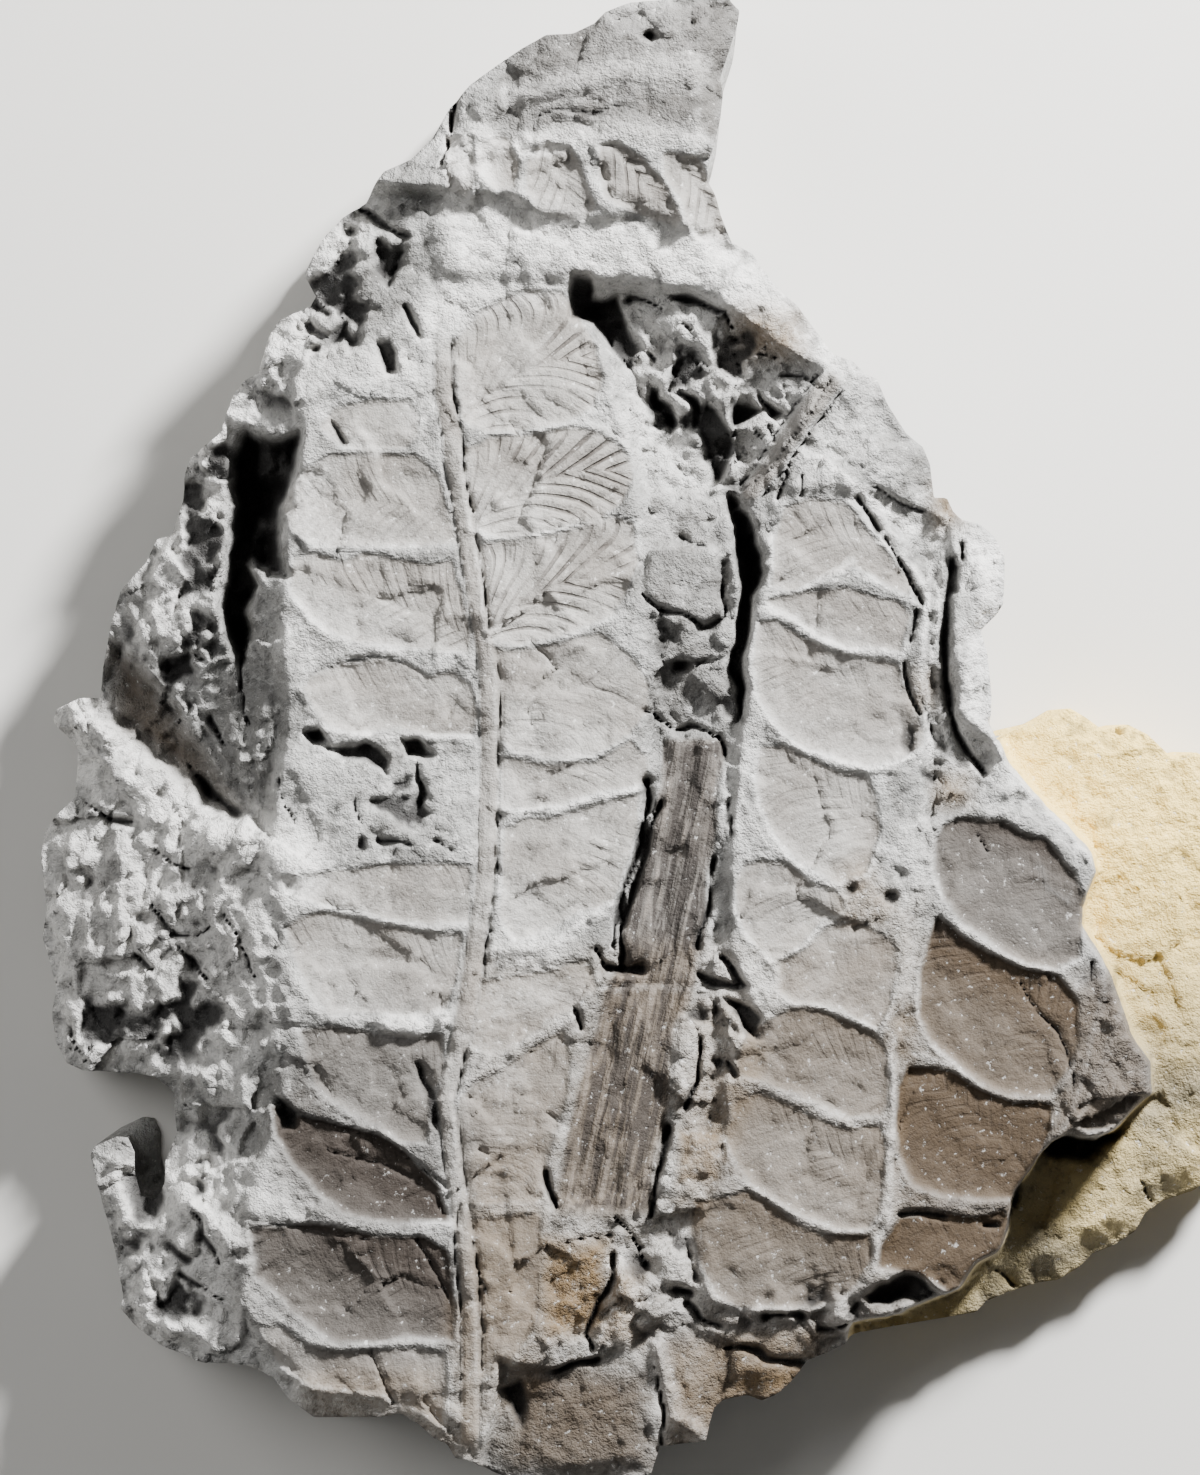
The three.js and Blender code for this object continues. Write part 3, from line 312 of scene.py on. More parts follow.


# The main frond
# The fern's axis is a thin double line down the left of the slab, with broad pinnules on both sides. Each is
# a shallow dish pressed in the stone under a browner film, deepest along its upper edge, and finely veined;
# its film is browner near that edge as painted shade, and whiter over the lower part as painted highlight.
MAIN_PINNULES = [
    dict(base=(-17, 22.6), tip=(-25, 23), arch=0.3, depth=0.14, veins=0.17, outline=[
        (-24.6, 22.6), (-23.4, 24), (-21, 24.6), (-18.2, 24.6), (-17.4, 23.4), (-17.6, 22), (-18.4, 21),
        (-21, 20.9), (-23, 21.3)]),
    dict(base=(-15, 16), tip=(-27.4, 17.6), arch=-0.6, depth=0.2, veins=0.56, outline=[
        (-27.2, 17.2), (-26, 19.4), (-24, 20.6), (-20.6, 20.9), (-17.6, 20.6), (-15.9, 19), (-15.2, 16.6),
        (-14.8, 14.4), (-16.4, 14.2), (-19.8, 14.1), (-24.8, 14.2), (-26.6, 15.2)]),
    dict(base=(-13.9, 7.6), tip=(-27, 11.6), arch=-0.8, depth=0.21, veins=0.63, outline=[
        (-26.4, 13.3), (-25, 13.6), (-23, 13.1), (-21.6, 13.6), (-20, 13.4), (-17, 12.8), (-15.2, 13),
        (-14.4, 11), (-13.9, 8), (-13.8, 6.4), (-15.4, 6.6), (-18.4, 7), (-22, 7.2), (-23.6, 7.9),
        (-25.6, 9.4), (-26.7, 11)]),
    dict(base=(-13.6, 2.2), tip=(-26, 3.8), arch=-0.6, depth=0.27, veins=0.35, outline=[
        (-25.3, 5), (-23.2, 5.8), (-20.6, 6.1), (-18.3, 5.7), (-16.8, 4.8), (-15.2, 5.2), (-13.7, 4.2),
        (-13.4, 2), (-13.6, 0.6), (-16, 0.7), (-19, 1), (-22, 0.9), (-23.8, 1.3), (-25, 2.6), (-25.8, 4)]),
    dict(base=(-13.8, -10.6), tip=(-28.6, -9.6), arch=-0.3, depth=0.13, veins=0.35, outline=[
        (-28, -9.4), (-24, -9.2), (-20, -8.7), (-16, -8.4), (-13.8, -8.6), (-13.8, -11), (-14, -12.8),
        (-17, -12.9), (-20, -12.3), (-24, -11.5), (-27, -10.6)]),
    dict(base=(-14.6, -17), tip=(-27.2, -14.4), arch=-0.5, depth=0.23, veins=0.49, outline=[
        (-26, -12.2), (-24, -12), (-20, -12.9), (-17, -13.4), (-14.4, -13.4), (-14.8, -16.6), (-15.4, -19),
        (-17, -19.4), (-19.6, -19.3), (-23.8, -19.2), (-25.4, -17.4), (-26.6, -15), (-27, -13)]),
    dict(base=(-16, -25.4), tip=(-26.2, -21), arch=-0.8, depth=0.45, veins=0.42, brown=0.55, outline=[
        (-26, -20.4), (-23.6, -20), (-20.4, -20.6), (-17.6, -21), (-15.8, -20.6), (-15.6, -23), (-16.6, -25),
        (-17, -28.4), (-18.8, -28.2), (-20.4, -27.2), (-22.4, -26.4), (-23.6, -25.4), (-25, -24.4),
        (-25.6, -22.6)]),
    dict(base=(-15.4, -33), tip=(-28.4, -27), arch=-0.9, depth=0.59, veins=0.42, brown=0.9, outline=[
        (-28, -25.8), (-26, -26.6), (-22.4, -27.3), (-20.4, -28), (-18.6, -29.1), (-16, -31.6), (-15.3, -34),
        (-17.6, -34.2), (-20.8, -34.1), (-23, -33.4), (-24.8, -32), (-26.4, -30), (-27.6, -28)]),
    dict(base=(-15, -40.6), tip=(-30, -36), arch=-0.8, depth=0.39, veins=0.49, brown=0.8, outline=[
        (-29.6, -34.6), (-27, -34.3), (-24.8, -34.2), (-22, -34.7), (-20.6, -35.1), (-17.4, -35),
        (-15.4, -36), (-14.8, -40), (-15, -42.6), (-18, -42.3), (-21, -42.6), (-23.8, -42.5),
        (-25.4, -41.4), (-27, -40), (-29.2, -38)]),
    dict(base=(-15.2, -47.4), tip=(-29, -43), arch=-0.4, depth=0.33, veins=0.28, brown=0.25, outline=[
        (-29.4, -41.4), (-27.4, -41.6), (-25.8, -42.6), (-24, -43.3), (-21, -43.3), (-17.8, -43),
        (-15.6, -43.4), (-15.4, -46), (-16, -48.6), (-20, -46.4), (-25, -45.8), (-27.6, -44.2)]),
    dict(base=(-14.6, 22.4), tip=(-4.2, 27.6), arch=1.6, depth=0.13, lean=2.6, veins=1.5, outline=[
        (-14.3, 23.2), (-14.8, 26), (-15, 28.6), (-13, 31), (-10, 32.4), (-7.4, 32.2), (-6, 30.4),
        (-4.8, 28.4), (-4.4, 26), (-5, 24), (-7, 22.9), (-10, 22.4), (-12.6, 22.2)]),
    dict(base=(-13.6, 15.2), tip=(-2.2, 19.4), arch=1.6, depth=0.13, lean=2.6, veins=1.5, outline=[
        (-13.6, 15.4), (-14, 18), (-14.2, 21), (-12.4, 22), (-9.6, 22.1), (-7, 22.6), (-4.6, 22.4),
        (-2.8, 21), (-2.2, 19), (-3, 17.2), (-4.8, 15.9), (-7.4, 15.4), (-10, 14.8), (-12, 14.8)]),
    dict(base=(-12.8, 7.4), tip=(-1.8, 12), arch=1.6, depth=0.16, lean=2.4, veins=1.5, outline=[
        (-12.6, 7.6), (-12.8, 11), (-13.2, 14.2), (-11.2, 14.6), (-8.6, 14.9), (-6, 15.5), (-3.5, 16.3),
        (-2, 15.8), (-1.8, 13), (-2.6, 10.6), (-3.6, 9.2), (-5.6, 8.4), (-8, 7.6), (-10.4, 7)]),
    dict(base=(-12, 0.6), tip=(-1.2, 4.6), arch=1.2, depth=0.12, lean=2.0, veins=0.49, outline=[
        (-11.8, 0.4), (-11.8, 3.6), (-12.2, 6.8), (-10, 6.8), (-7.4, 7.2), (-4.6, 8), (-2.4, 6.4),
        (-1.2, 4.4), (-1.2, 2.6), (-2.6, 0.6), (-5, -0.8), (-8, -1), (-10.4, -0.6)]),
    dict(base=(-11.8, -4), tip=(-1.2, -1), arch=0.6, depth=0.13, lean=1.6, veins=0.35, outline=[
        (-11.6, -4.4), (-11.6, -1), (-8, -1.4), (-5, -1.2), (-2.4, 0.2), (-1.2, -1), (-1.4, -2.8),
        (-4, -3.4), (-7.4, -4.3), (-9.4, -4.7)]),
    dict(base=(-11.8, -11), tip=(-2, -6), arch=0.8, depth=0.23, lean=1.5, veins=0.49, outline=[
        (-11.6, -9), (-11.4, -6), (-10, -5.4), (-7, -4.9), (-4, -3.9), (-1.8, -3.6), (-1.9, -6),
        (-2.8, -9), (-3.6, -11.2), (-6, -12), (-8.2, -13.4), (-10.6, -14), (-11.7, -12.4)]),
    dict(base=(-12.9, -20), tip=(-5, -16.4), arch=0.4, depth=0.23, lean=1.4, veins=0.42, outline=[
        (-12.9, -17), (-10.6, -16.6), (-8, -16.1), (-5.4, -15.4), (-5, -17.4), (-6.4, -18.6),
        (-8.6, -19.8), (-10.2, -21.2), (-12.2, -22.2), (-13.7, -21.6), (-13.3, -19)]),
    dict(base=(-14.6, -30), tip=(-7, -23), arch=0.6, depth=0.2, lean=1.4, veins=0.42, brown=0.2, outline=[
        (-14.6, -25.4), (-13.6, -24.2), (-11.4, -23.2), (-9.4, -21.6), (-7.2, -20.6), (-6.6, -23),
        (-7.2, -26), (-8.2, -29.6), (-8.8, -32.4), (-11.4, -32.8), (-14.2, -33), (-14.8, -29.6)]),
    dict(base=(-13.6, -42), tip=(-9, -35), arch=0.4, depth=0.2, lean=1.4, veins=0.35, brown=0.3, outline=[
        (-14, -34), (-11.4, -33.6), (-9, -33.6), (-8.8, -37), (-9, -41), (-11, -44.2), (-13.2, -45.4),
        (-13.4, -40)]),
]
TOP_PINNULES = [
    dict(base=(-13.2, 44), tip=(-14.6, 38.9), arch=0, depth=0.4, lean=1.2, veins=0.6, outline=[
        (-15.6, 43.4), (-13.6, 43.4), (-13.2, 41), (-14, 38.9), (-15.4, 39.4)]),
    dict(base=(-11.6, 44), tip=(-11.4, 39), arch=0, depth=0.4, lean=1.2, veins=0.6, outline=[
        (-13.2, 43), (-11, 43.2), (-10.4, 41.4), (-10.6, 39.4), (-12, 39.4), (-13.4, 41)]),
    dict(base=(-9, 44), tip=(-6.2, 36.9), arch=0.3, depth=0.5, lean=1.6, veins=1.2, brown=0.15, outline=[
        (-9.8, 41.5), (-8.5, 43), (-6.8, 42.4), (-5.6, 40.4), (-4.8, 38.2), (-5.4, 37.3), (-7.4, 37.2),
        (-9.2, 37.9), (-9.9, 39.5)]),
    dict(base=(-4.6, 43.4), tip=(1, 36.6), arch=0.3, depth=0.6, lean=1.6, veins=1.3, brown=0.25, outline=[
        (-4.6, 42.6), (-3.2, 42.8), (-1.4, 41.4), (0.4, 39.6), (1.4, 37.4), (0.8, 36.8), (-1.6, 37.6),
        (-3, 38.2), (-4.2, 38.9), (-4.7, 40.6)]),
    dict(base=(0.4, 42.6), tip=(4.6, 35.6), arch=0.2, depth=0.4, lean=1.6, veins=1.0, brown=0.15, outline=[
        (0, 42), (2.4, 41.8), (3.6, 39.6), (4.4, 37.4), (4.4, 35.9), (2.6, 36), (1.6, 37), (1.2, 38.6),
        (0, 40.4)]),
]
VEIN_SPACING = 0.75
VEIN_DEPTH = 0.05
MIDVEIN_DEPTH = 0.12
RIM_RISE = 0.13
# How far from its midvein a pinnule's side veins fork
FORK_FROM = 2.4
FORK_TO = 3.2
TOWARDS_LOWER_EDGE = (-0.45, -0.9)


def press_pinnule(face, outline, base, tip, arch, depth, lean=1.0, veins=0.7, brown=0.02, crisp=1.0):
    """Presses one pinnule in the face and marks its forked veins, as waves that its shader draws."""
    near = face.near(outline, 1.5)
    x, y = face.x[near], face.y[near]
    within = inside_distance(outline, x, y) + 0.12 + 0.2 * crags(x, y, 1.8, 131, 3)
    down = [TOWARDS_LOWER_EDGE[0] * px + TOWARDS_LOWER_EDGE[1] * py for px, py in outline]
    lower = (TOWARDS_LOWER_EDGE[0] * x + TOWARDS_LOWER_EDGE[1] * y - min(down)) / (max(down) - min(down))
    lower = np.clip(lower, 0, 1)
    share = smoothstep(within / (0.3 + 0.35 * lower), 0, 1)
    rim = smoothstep(within, -0.42, -0.12) * (1 - smoothstep(within, -0.1, 0.15))
    rim *= smoothstep(lower, 0.35, 0.7)
    rim *= crisp * (0.75 + 0.5 * lumps(x, y, 1.1, 121))
    face.z[near] += RIM_RISE * rim - share * depth * (0.75 - 0.1 * lower)
    covered = smoothstep(within, -0.1, 0.35)
    at_least(face.film, near, covered * (0.85 + 0.15 * lumps(x, y, 1.6, 151)))
    # The film's own brown, and more brown towards the upper edge as painted shade.
    at_least(face.brown, near, (brown + (0.1 + 0.35 * brown) * (1 - lower) ** 2) * covered)
    # Painted highlight: white along the raised lower rim and over the lower part of the dish, the sides that
    # face the lamp.
    dish_painted_highlight = np.maximum(0.9 * rim, 0.35 * covered * smoothstep(lower, 0.45, 1) * max(1 - 2 * brown, 0))
    at_least(face.pale, near, dish_painted_highlight)
    face.rough[near] += covered * (0.12 - face.rough[near]) * 0.8

    dx, dy = tip[0] - base[0], tip[1] - base[1]
    length = math.hypot(dx, dy)
    along = ((x - base[0]) * dx + (y - base[1]) * dy) / length**2
    across = ((y - base[1]) * dx - (x - base[0]) * dy) / length - arch * 4 * along * (1 - along)
    outward = np.abs(across)
    phase = along * length - lean * outward * (1 - 0.11 * outward) + 0.4 * crags(x, y, 3.4, 161, 2)
    phase *= 2 * math.pi / (VEIN_SPACING * math.hypot(1, 0.8 * lean))
    strength = veins * smoothstep(within, 0.1, 0.6) * (0.6 + 0.6 * lumps(x, y, 2.4, 141))
    strength = np.maximum(strength * (1.2 - 0.6 * lower), 0)
    forked = smoothstep(outward, FORK_FROM, FORK_TO)
    own = within > 0
    for layer, values in (face.vein_phase, phase), (face.vein_strength, strength), (face.vein_fork, forked):
        layer[near[own]] = values[own]
    face.z[near] -= VEIN_DEPTH * strength * np.cos(phase)
    midvein = (1 - smoothstep(outward, 0.05, 0.3)) * smoothstep(along, 0, 0.1)
    midvein *= 1 - smoothstep(along, 0.5, 0.9)
    face.z[near] -= MIDVEIN_DEPTH * midvein * share * min(veins, 1)


MAIN_RACHIS = [
    (-15.8, 31), (-15.7, 25), (-15.1, 22), (-15, 20), (-14.5, 17.5), (-14.1, 15), (-13.6, 12), (-13.3, 10),
    (-12.8, 7), (-12.5, 5), (-12.4, 0), (-12.5, -3), (-12.6, -8.5), (-12.9, -11), (-13.4, -14),
    (-13.8, -17), (-14.3, -20), (-15, -23), (-15.6, -25.5), (-15.3, -27), (-15, -30), (-14.6, -33),
    (-14.1, -36), (-13.8, -40), (-13.7, -45), (-13.9, -50.5),
]
RACHIS_WIDTH = 1.25
RACHIS_ENDS = (-51, 31)
# Ridges of stone that stand between neighbouring pinnules, with a painted highlight along them: rise, width
# and course
FROND_RIDGES = [
    (0.11, 0.8, [(-26.5, 10), (-24, 7.8), (-22, 6.6), (-18, 6.4)]),
    (0.11, 0.72, [(-25.4, 1.4), (-23, 0.4), (-18, 0.4), (-14, 0.5)]),
    (0.13, 0.54, [(-26.5, -11.3), (-24, -11.8), (-20, -12.6), (-16, -13.2)]),
    (0.18, 0.72, [(-25, -25), (-23.5, -25.8), (-22, -26.9), (-20, -27.7), (-18.5, -28.6)]),
    (0.18, 0.72, [(-27.5, -30.2), (-25, -33), (-23.5, -33.9), (-21, -34.5), (-18, -34.7)]),
    (0.21, 0.8, [(-29.5, -39.4), (-28, -40.8), (-26, -41.8), (-25, -42.7), (-23.5, -43), (-16.5, -42.7)]),
    (0.14, 0.72, [(-27.4, -14), (-26.4, -17), (-24.6, -19.5), (-20, -19.9), (-15.6, -20)]),
    (0.11, 0.54, [(-11.5, -4.9), (-7, -4.5), (-2, -3.3)]),
    (0.29, 1.12, [(-12, -14.8), (-8.6, -14.6), (-6, -13), (-3.8, -11.6)]),
    (0.18, 0.72, [(-12.6, -22.6), (-11, -22), (-9, -20.8), (-6.6, -19.4)]),
    (0.18, 0.8, [(-14, -22.8), (-12, -23), (-10.8, -22.2)]),
]
# Grooves along the pinnules' edges: depth, width and course
FROND_GROOVES = [
    (0.3, 0.4, [(-26.5, 13.5), (-25, 13.7), (-22, 13.8), (-20.4, 13.5)]),
    (0.3, 0.4, [(-25.2, 5.1), (-23, 5.9), (-20.5, 6.2), (-18.3, 5.7), (-17, 4.9)]),
    (0.5, 0.6, [(-28, -25.5), (-25.5, -26.7), (-22, -27.6), (-20, -28.6), (-18, -29.6), (-15.5, -31.6)]),
    (0.4, 0.4, [(-24, -29), (-20, -29.9), (-17, -31.4)]),
    (0.4, 0.5, [(-30, -33.8), (-25, -34.6), (-21, -35.4)]),
    (0.15, 0.3, [(-25, -36.4), (-21.6, -37.2), (-17, -38.6)]),
    (0.5, 0.5, [(-17.6, -35.2), (-16.4, -37.4), (-15.4, -39.4)]),
    (0.5, 0.6, [(-20.9, -43.3), (-20.2, -45), (-19.3, -47)]),
    (0.35, 0.35, [(-33.5, -20.3), (-29, -20.4), (-25, -20.1)]),
    (0.35, 0.5, [(-9.5, 7.4), (-8.4, 6.4), (-7.6, 5.4)]),
    (0.3, 0.4, [(-7.6, 4.4), (-7.3, 3.8)]),
    (0.3, 0.4, [(-9.8, 2.6), (-9.4, 1.2)]),
    (0.35, 0.3, [(-6.4, 15.4), (-5, 16), (-3.4, 16.5), (-1.9, 15.9)]),
    (0.3, 0.4, [(-12.4, -16.3), (-10.2, -16.3), (-8.5, -15.9), (-6, -15.3)]),
    (0.4, 0.5, [(-8.3, -26.2), (-7.2, -27.1)]),
    (0.4, 0.6, [(-13.3, -28.8), (-12.6, -29.2)]),
    (0.25, 0.4, [(-14, -26.6), (-13.2, -26), (-12.7, -26.5)]),
]
# Short dark cracks beside the axis
RACHIS_CRACKS = [
    [(-15.1, 28.5), (-15.1, 25.5), (-14.7, 23.6)], [(-14.4, 22), (-14.2, 19), (-13.7, 16.6)],
    [(-12.9, 12.4), (-12.8, 10.5), (-12.5, 8.2)], [(-11.5, 4), (-11.8, 1), (-11.9, -1.6)],
    [(-11.7, -5.2), (-12, -6), (-12, -8), (-11.7, -9.4)], [(-12.3, -13.2), (-12.8, -14.6), (-12.8, -16.6)],
    [(-14.2, -21.8), (-14.6, -24)], [(-13.6, -35.6), (-13.3, -37.6), (-12.7, -39)],
    [(-14.6, -33), (-15, -36), (-14.4, -41)], [(-12.9, -41), (-12.8, -42)],
]


def crossing(course, y):
    """How far across the slab a course that runs down it lies, at each height of the picture."""
    across, up = zip(*reversed(course))
    return np.interp(y, up, across)


def press_main_frond(face):
    for pinnule in MAIN_PINNULES + TOP_PINNULES:
        press_pinnule(face, **pinnule, crisp=0.45)
    for rise, width, points in FROND_RIDGES:
        face.raise_ridge(points, rise, width, 0.5)
        # Painted highlight along each ridge.
        face.brush(face.pale, points, width * 1.1, 0.7)
    for depth, width, points in FROND_GROOVES:
        face.cut(points, depth, width, 0.35, ragged=0.5)
    # The axis: a flat rib between two grooves, with fine lines along it
    near = face.near(MAIN_RACHIS, 3)
    x, y = face.x[near], face.y[near]
    off = x - crossing(MAIN_RACHIS, y)
    foot, top = RACHIS_ENDS
    ends = smoothstep(y, foot, foot + 2) * (1 - smoothstep(y, top - 4, top))
    rib = (1 - smoothstep(np.abs(off), RACHIS_WIDTH * 0.35, RACHIS_WIDTH * 0.7)) * ends
    face.z[near] += rib * (0.1 + 0.05 * np.cos(off * 11 + y * 0.3))
    face.film[near] += rib * (1 - face.film[near])
    at_least(face.brown, near, 0.12 * rib)
    face.vein_strength[near] *= 1 - rib
    for side, depth, seed in ((-0.7, 0.22, 161), (0.7, 0.3, 171)):
        groove = (1 - smoothstep(np.abs(off - side - 0.08 * lumps(x, y, 3, seed)), 0.05, 0.3)) * ends
        deeper = 0.5 + 0.5 * lumps(y, y, 3.5, seed + 1)
        face.z[near] -= groove * depth * (0.5 + deeper)
        # The grooves are darkened with dirt and painted shade.
        at_least(face.dirt, near, groove * (0.15 + 0.5 * deeper))
    for points in RACHIS_CRACKS:
        face.cut(points, 0.5, 0.42, 0.85, ragged=0.2)


# The fern's stem
# A strip of carbon-dark stem runs down the middle, striated along its length, with deep cracks where it
# parts from the stone on both sides and a pale crack across it.
STEM_LEFT = [
    (0.4, 2), (0.2, 0), (-0.1, -3), (-0.8, -5), (-1.5, -8), (-2, -10), (-2.7, -13), (-3.2, -16),
    (-4.3, -17.5), (-5, -20), (-6, -24), (-7, -28), (-7.8, -32.5), (-8.2, -36),
]
STEM_RIGHT = [
    (4.4, 2), (4.3, -0.5), (4, -3), (3.6, -6), (3.3, -8.5), (2.9, -11), (2.5, -14.5), (2.3, -17),
    (0.6, -20), (0.2, -25), (-0.8, -30), (-1, -33), (-1.2, -36),
]
STEM_ENDS = (-34.5, 0.6)
# The stem's fibres: span across it, rise and seed
STRIAE = ((1.6, 0.4, 201), (0.7, 0.3, 211), (0.4, 0.16, 221))
STRIA_STRETCH = 9
CROSS_CRACK = [(-4.5, -17.3), (-3, -17.7), (-1, -17.5), (2.4, -17.6), (5, -17.5)]
RAISED_FIBRE = [(-0.9, -6), (-1.8, -9), (-2.6, -12.4)]
# Two chips of stone that lie by the stem's foot
FOOT_CHIPS = [
    [(2, -28), (4, -28.5), (3.6, -31), (1.4, -30.6)], [(-0.6, -36), (1.6, -35), (1.6, -38.6), (-0.6, -38.6)],
]
TAN_BY_CHIPS = [(1, -27.4), (4, -27.6), (4.2, -31.4), (0.6, -31.6)]
# Cracks where the stem parts from the stone: depth, width and course
STEM_CRACKS = [
    (1.7, 0.9, [(-1.2, -2.7), (-1, -4), (-1.5, -6), (-2.2, -8.5), (-2.8, -10), (-3.1, -12.5), (-3.6, -14.6)]),
    (1.5, 0.7, [(-0.2, -4), (-1, -6.5), (-1.6, -8.5), (-2.2, -11), (-3, -14), (-3.2, -16.3)]),
    (1.6, 1.0, [(-4.9, -14.6), (-4.4, -15.8), (-3.2, -16.4), (-1.8, -16.4)]),
    (1.3, 0.7, [(3.6, -8.2), (3, -10.5), (2.9, -12.5), (2.6, -14.5)]),
    (0.9, 0.6, [(4.6, -4.3), (5, -6.5)]),
    (1.2, 0.7, [(2.3, -20.4), (2.6, -22), (2.2, -24), (1.5, -26)]),
    (1.5, 0.8, [(0.2, -27.5), (-0.6, -30.5), (-0.8, -33.5)]),
    (1.3, 0.7, [(-8.3, -30.7), (-8, -32), (-7.6, -33.5)]),
    (1.2, 0.6, [(-6.5, -19), (-6.1, -20.4)]),
    (1.0, 0.9, [(2.5, -16.6), (4, -17.2), (5.5, -17.2)]),
    (1.2, 0.8, [(4.4, -15.2), (5.2, -16.2), (6, -17.2)]),
    (0.9, 0.6, [(4.5, -22.8), (4.9, -23.6)]),
]


def press_stem(face):
    near = face.near(STEM_LEFT + STEM_RIGHT, 2)
    x, y = face.x[near], face.y[near]
    left, right = crossing(STEM_LEFT, y), crossing(STEM_RIGHT, y)
    ragged = 0.3 * lumps(x, y * 0.25, 0.8, 241)
    foot, top = STEM_ENDS
    inside = smoothstep(x + ragged, left - 0.3, left + 0.4)
    inside *= 1 - smoothstep(x + ragged, right - 0.3, right + 0.5)
    inside *= smoothstep(y, foot, foot + 2) * (1 - smoothstep(y, top - 0.6, top))
    straight_x = x - (left + right) / 2
    striae = np.zeros_like(x)
    for span, rise, seed in STRIAE:
        striae += rise * lumps(straight_x, y / STRIA_STRETCH, span, seed)
    face.z[near] += inside * striae
    at_least(face.brown, near, inside * 0.76)
    at_least(face.film, near, inside)
    at_least(face.striated, near, inside)
    for depth, width, points in STEM_CRACKS:
        face.cut(points, depth, width * 1.3, 1.0, ragged=1.3)
    face.cut([(px, py + 0.25) for px, py in CROSS_CRACK], depth=0.3, width=0.4, dirt=0.2)
    face.brush(face.pale, CROSS_CRACK, width=0.5, strength=0.7)
    face.raise_ridge(RAISED_FIBRE, rise=0.3, width=0.4, ragged=0.3)
    for points in FOOT_CHIPS:
        face.lay(points, 0.8, edge=0.9, rough=0.4)
        face.stain(face.pale, points, strength=0.5, edge=0.8)
    face.stain(face.tan, TAN_BY_CHIPS, strength=0.7, edge=1.4)


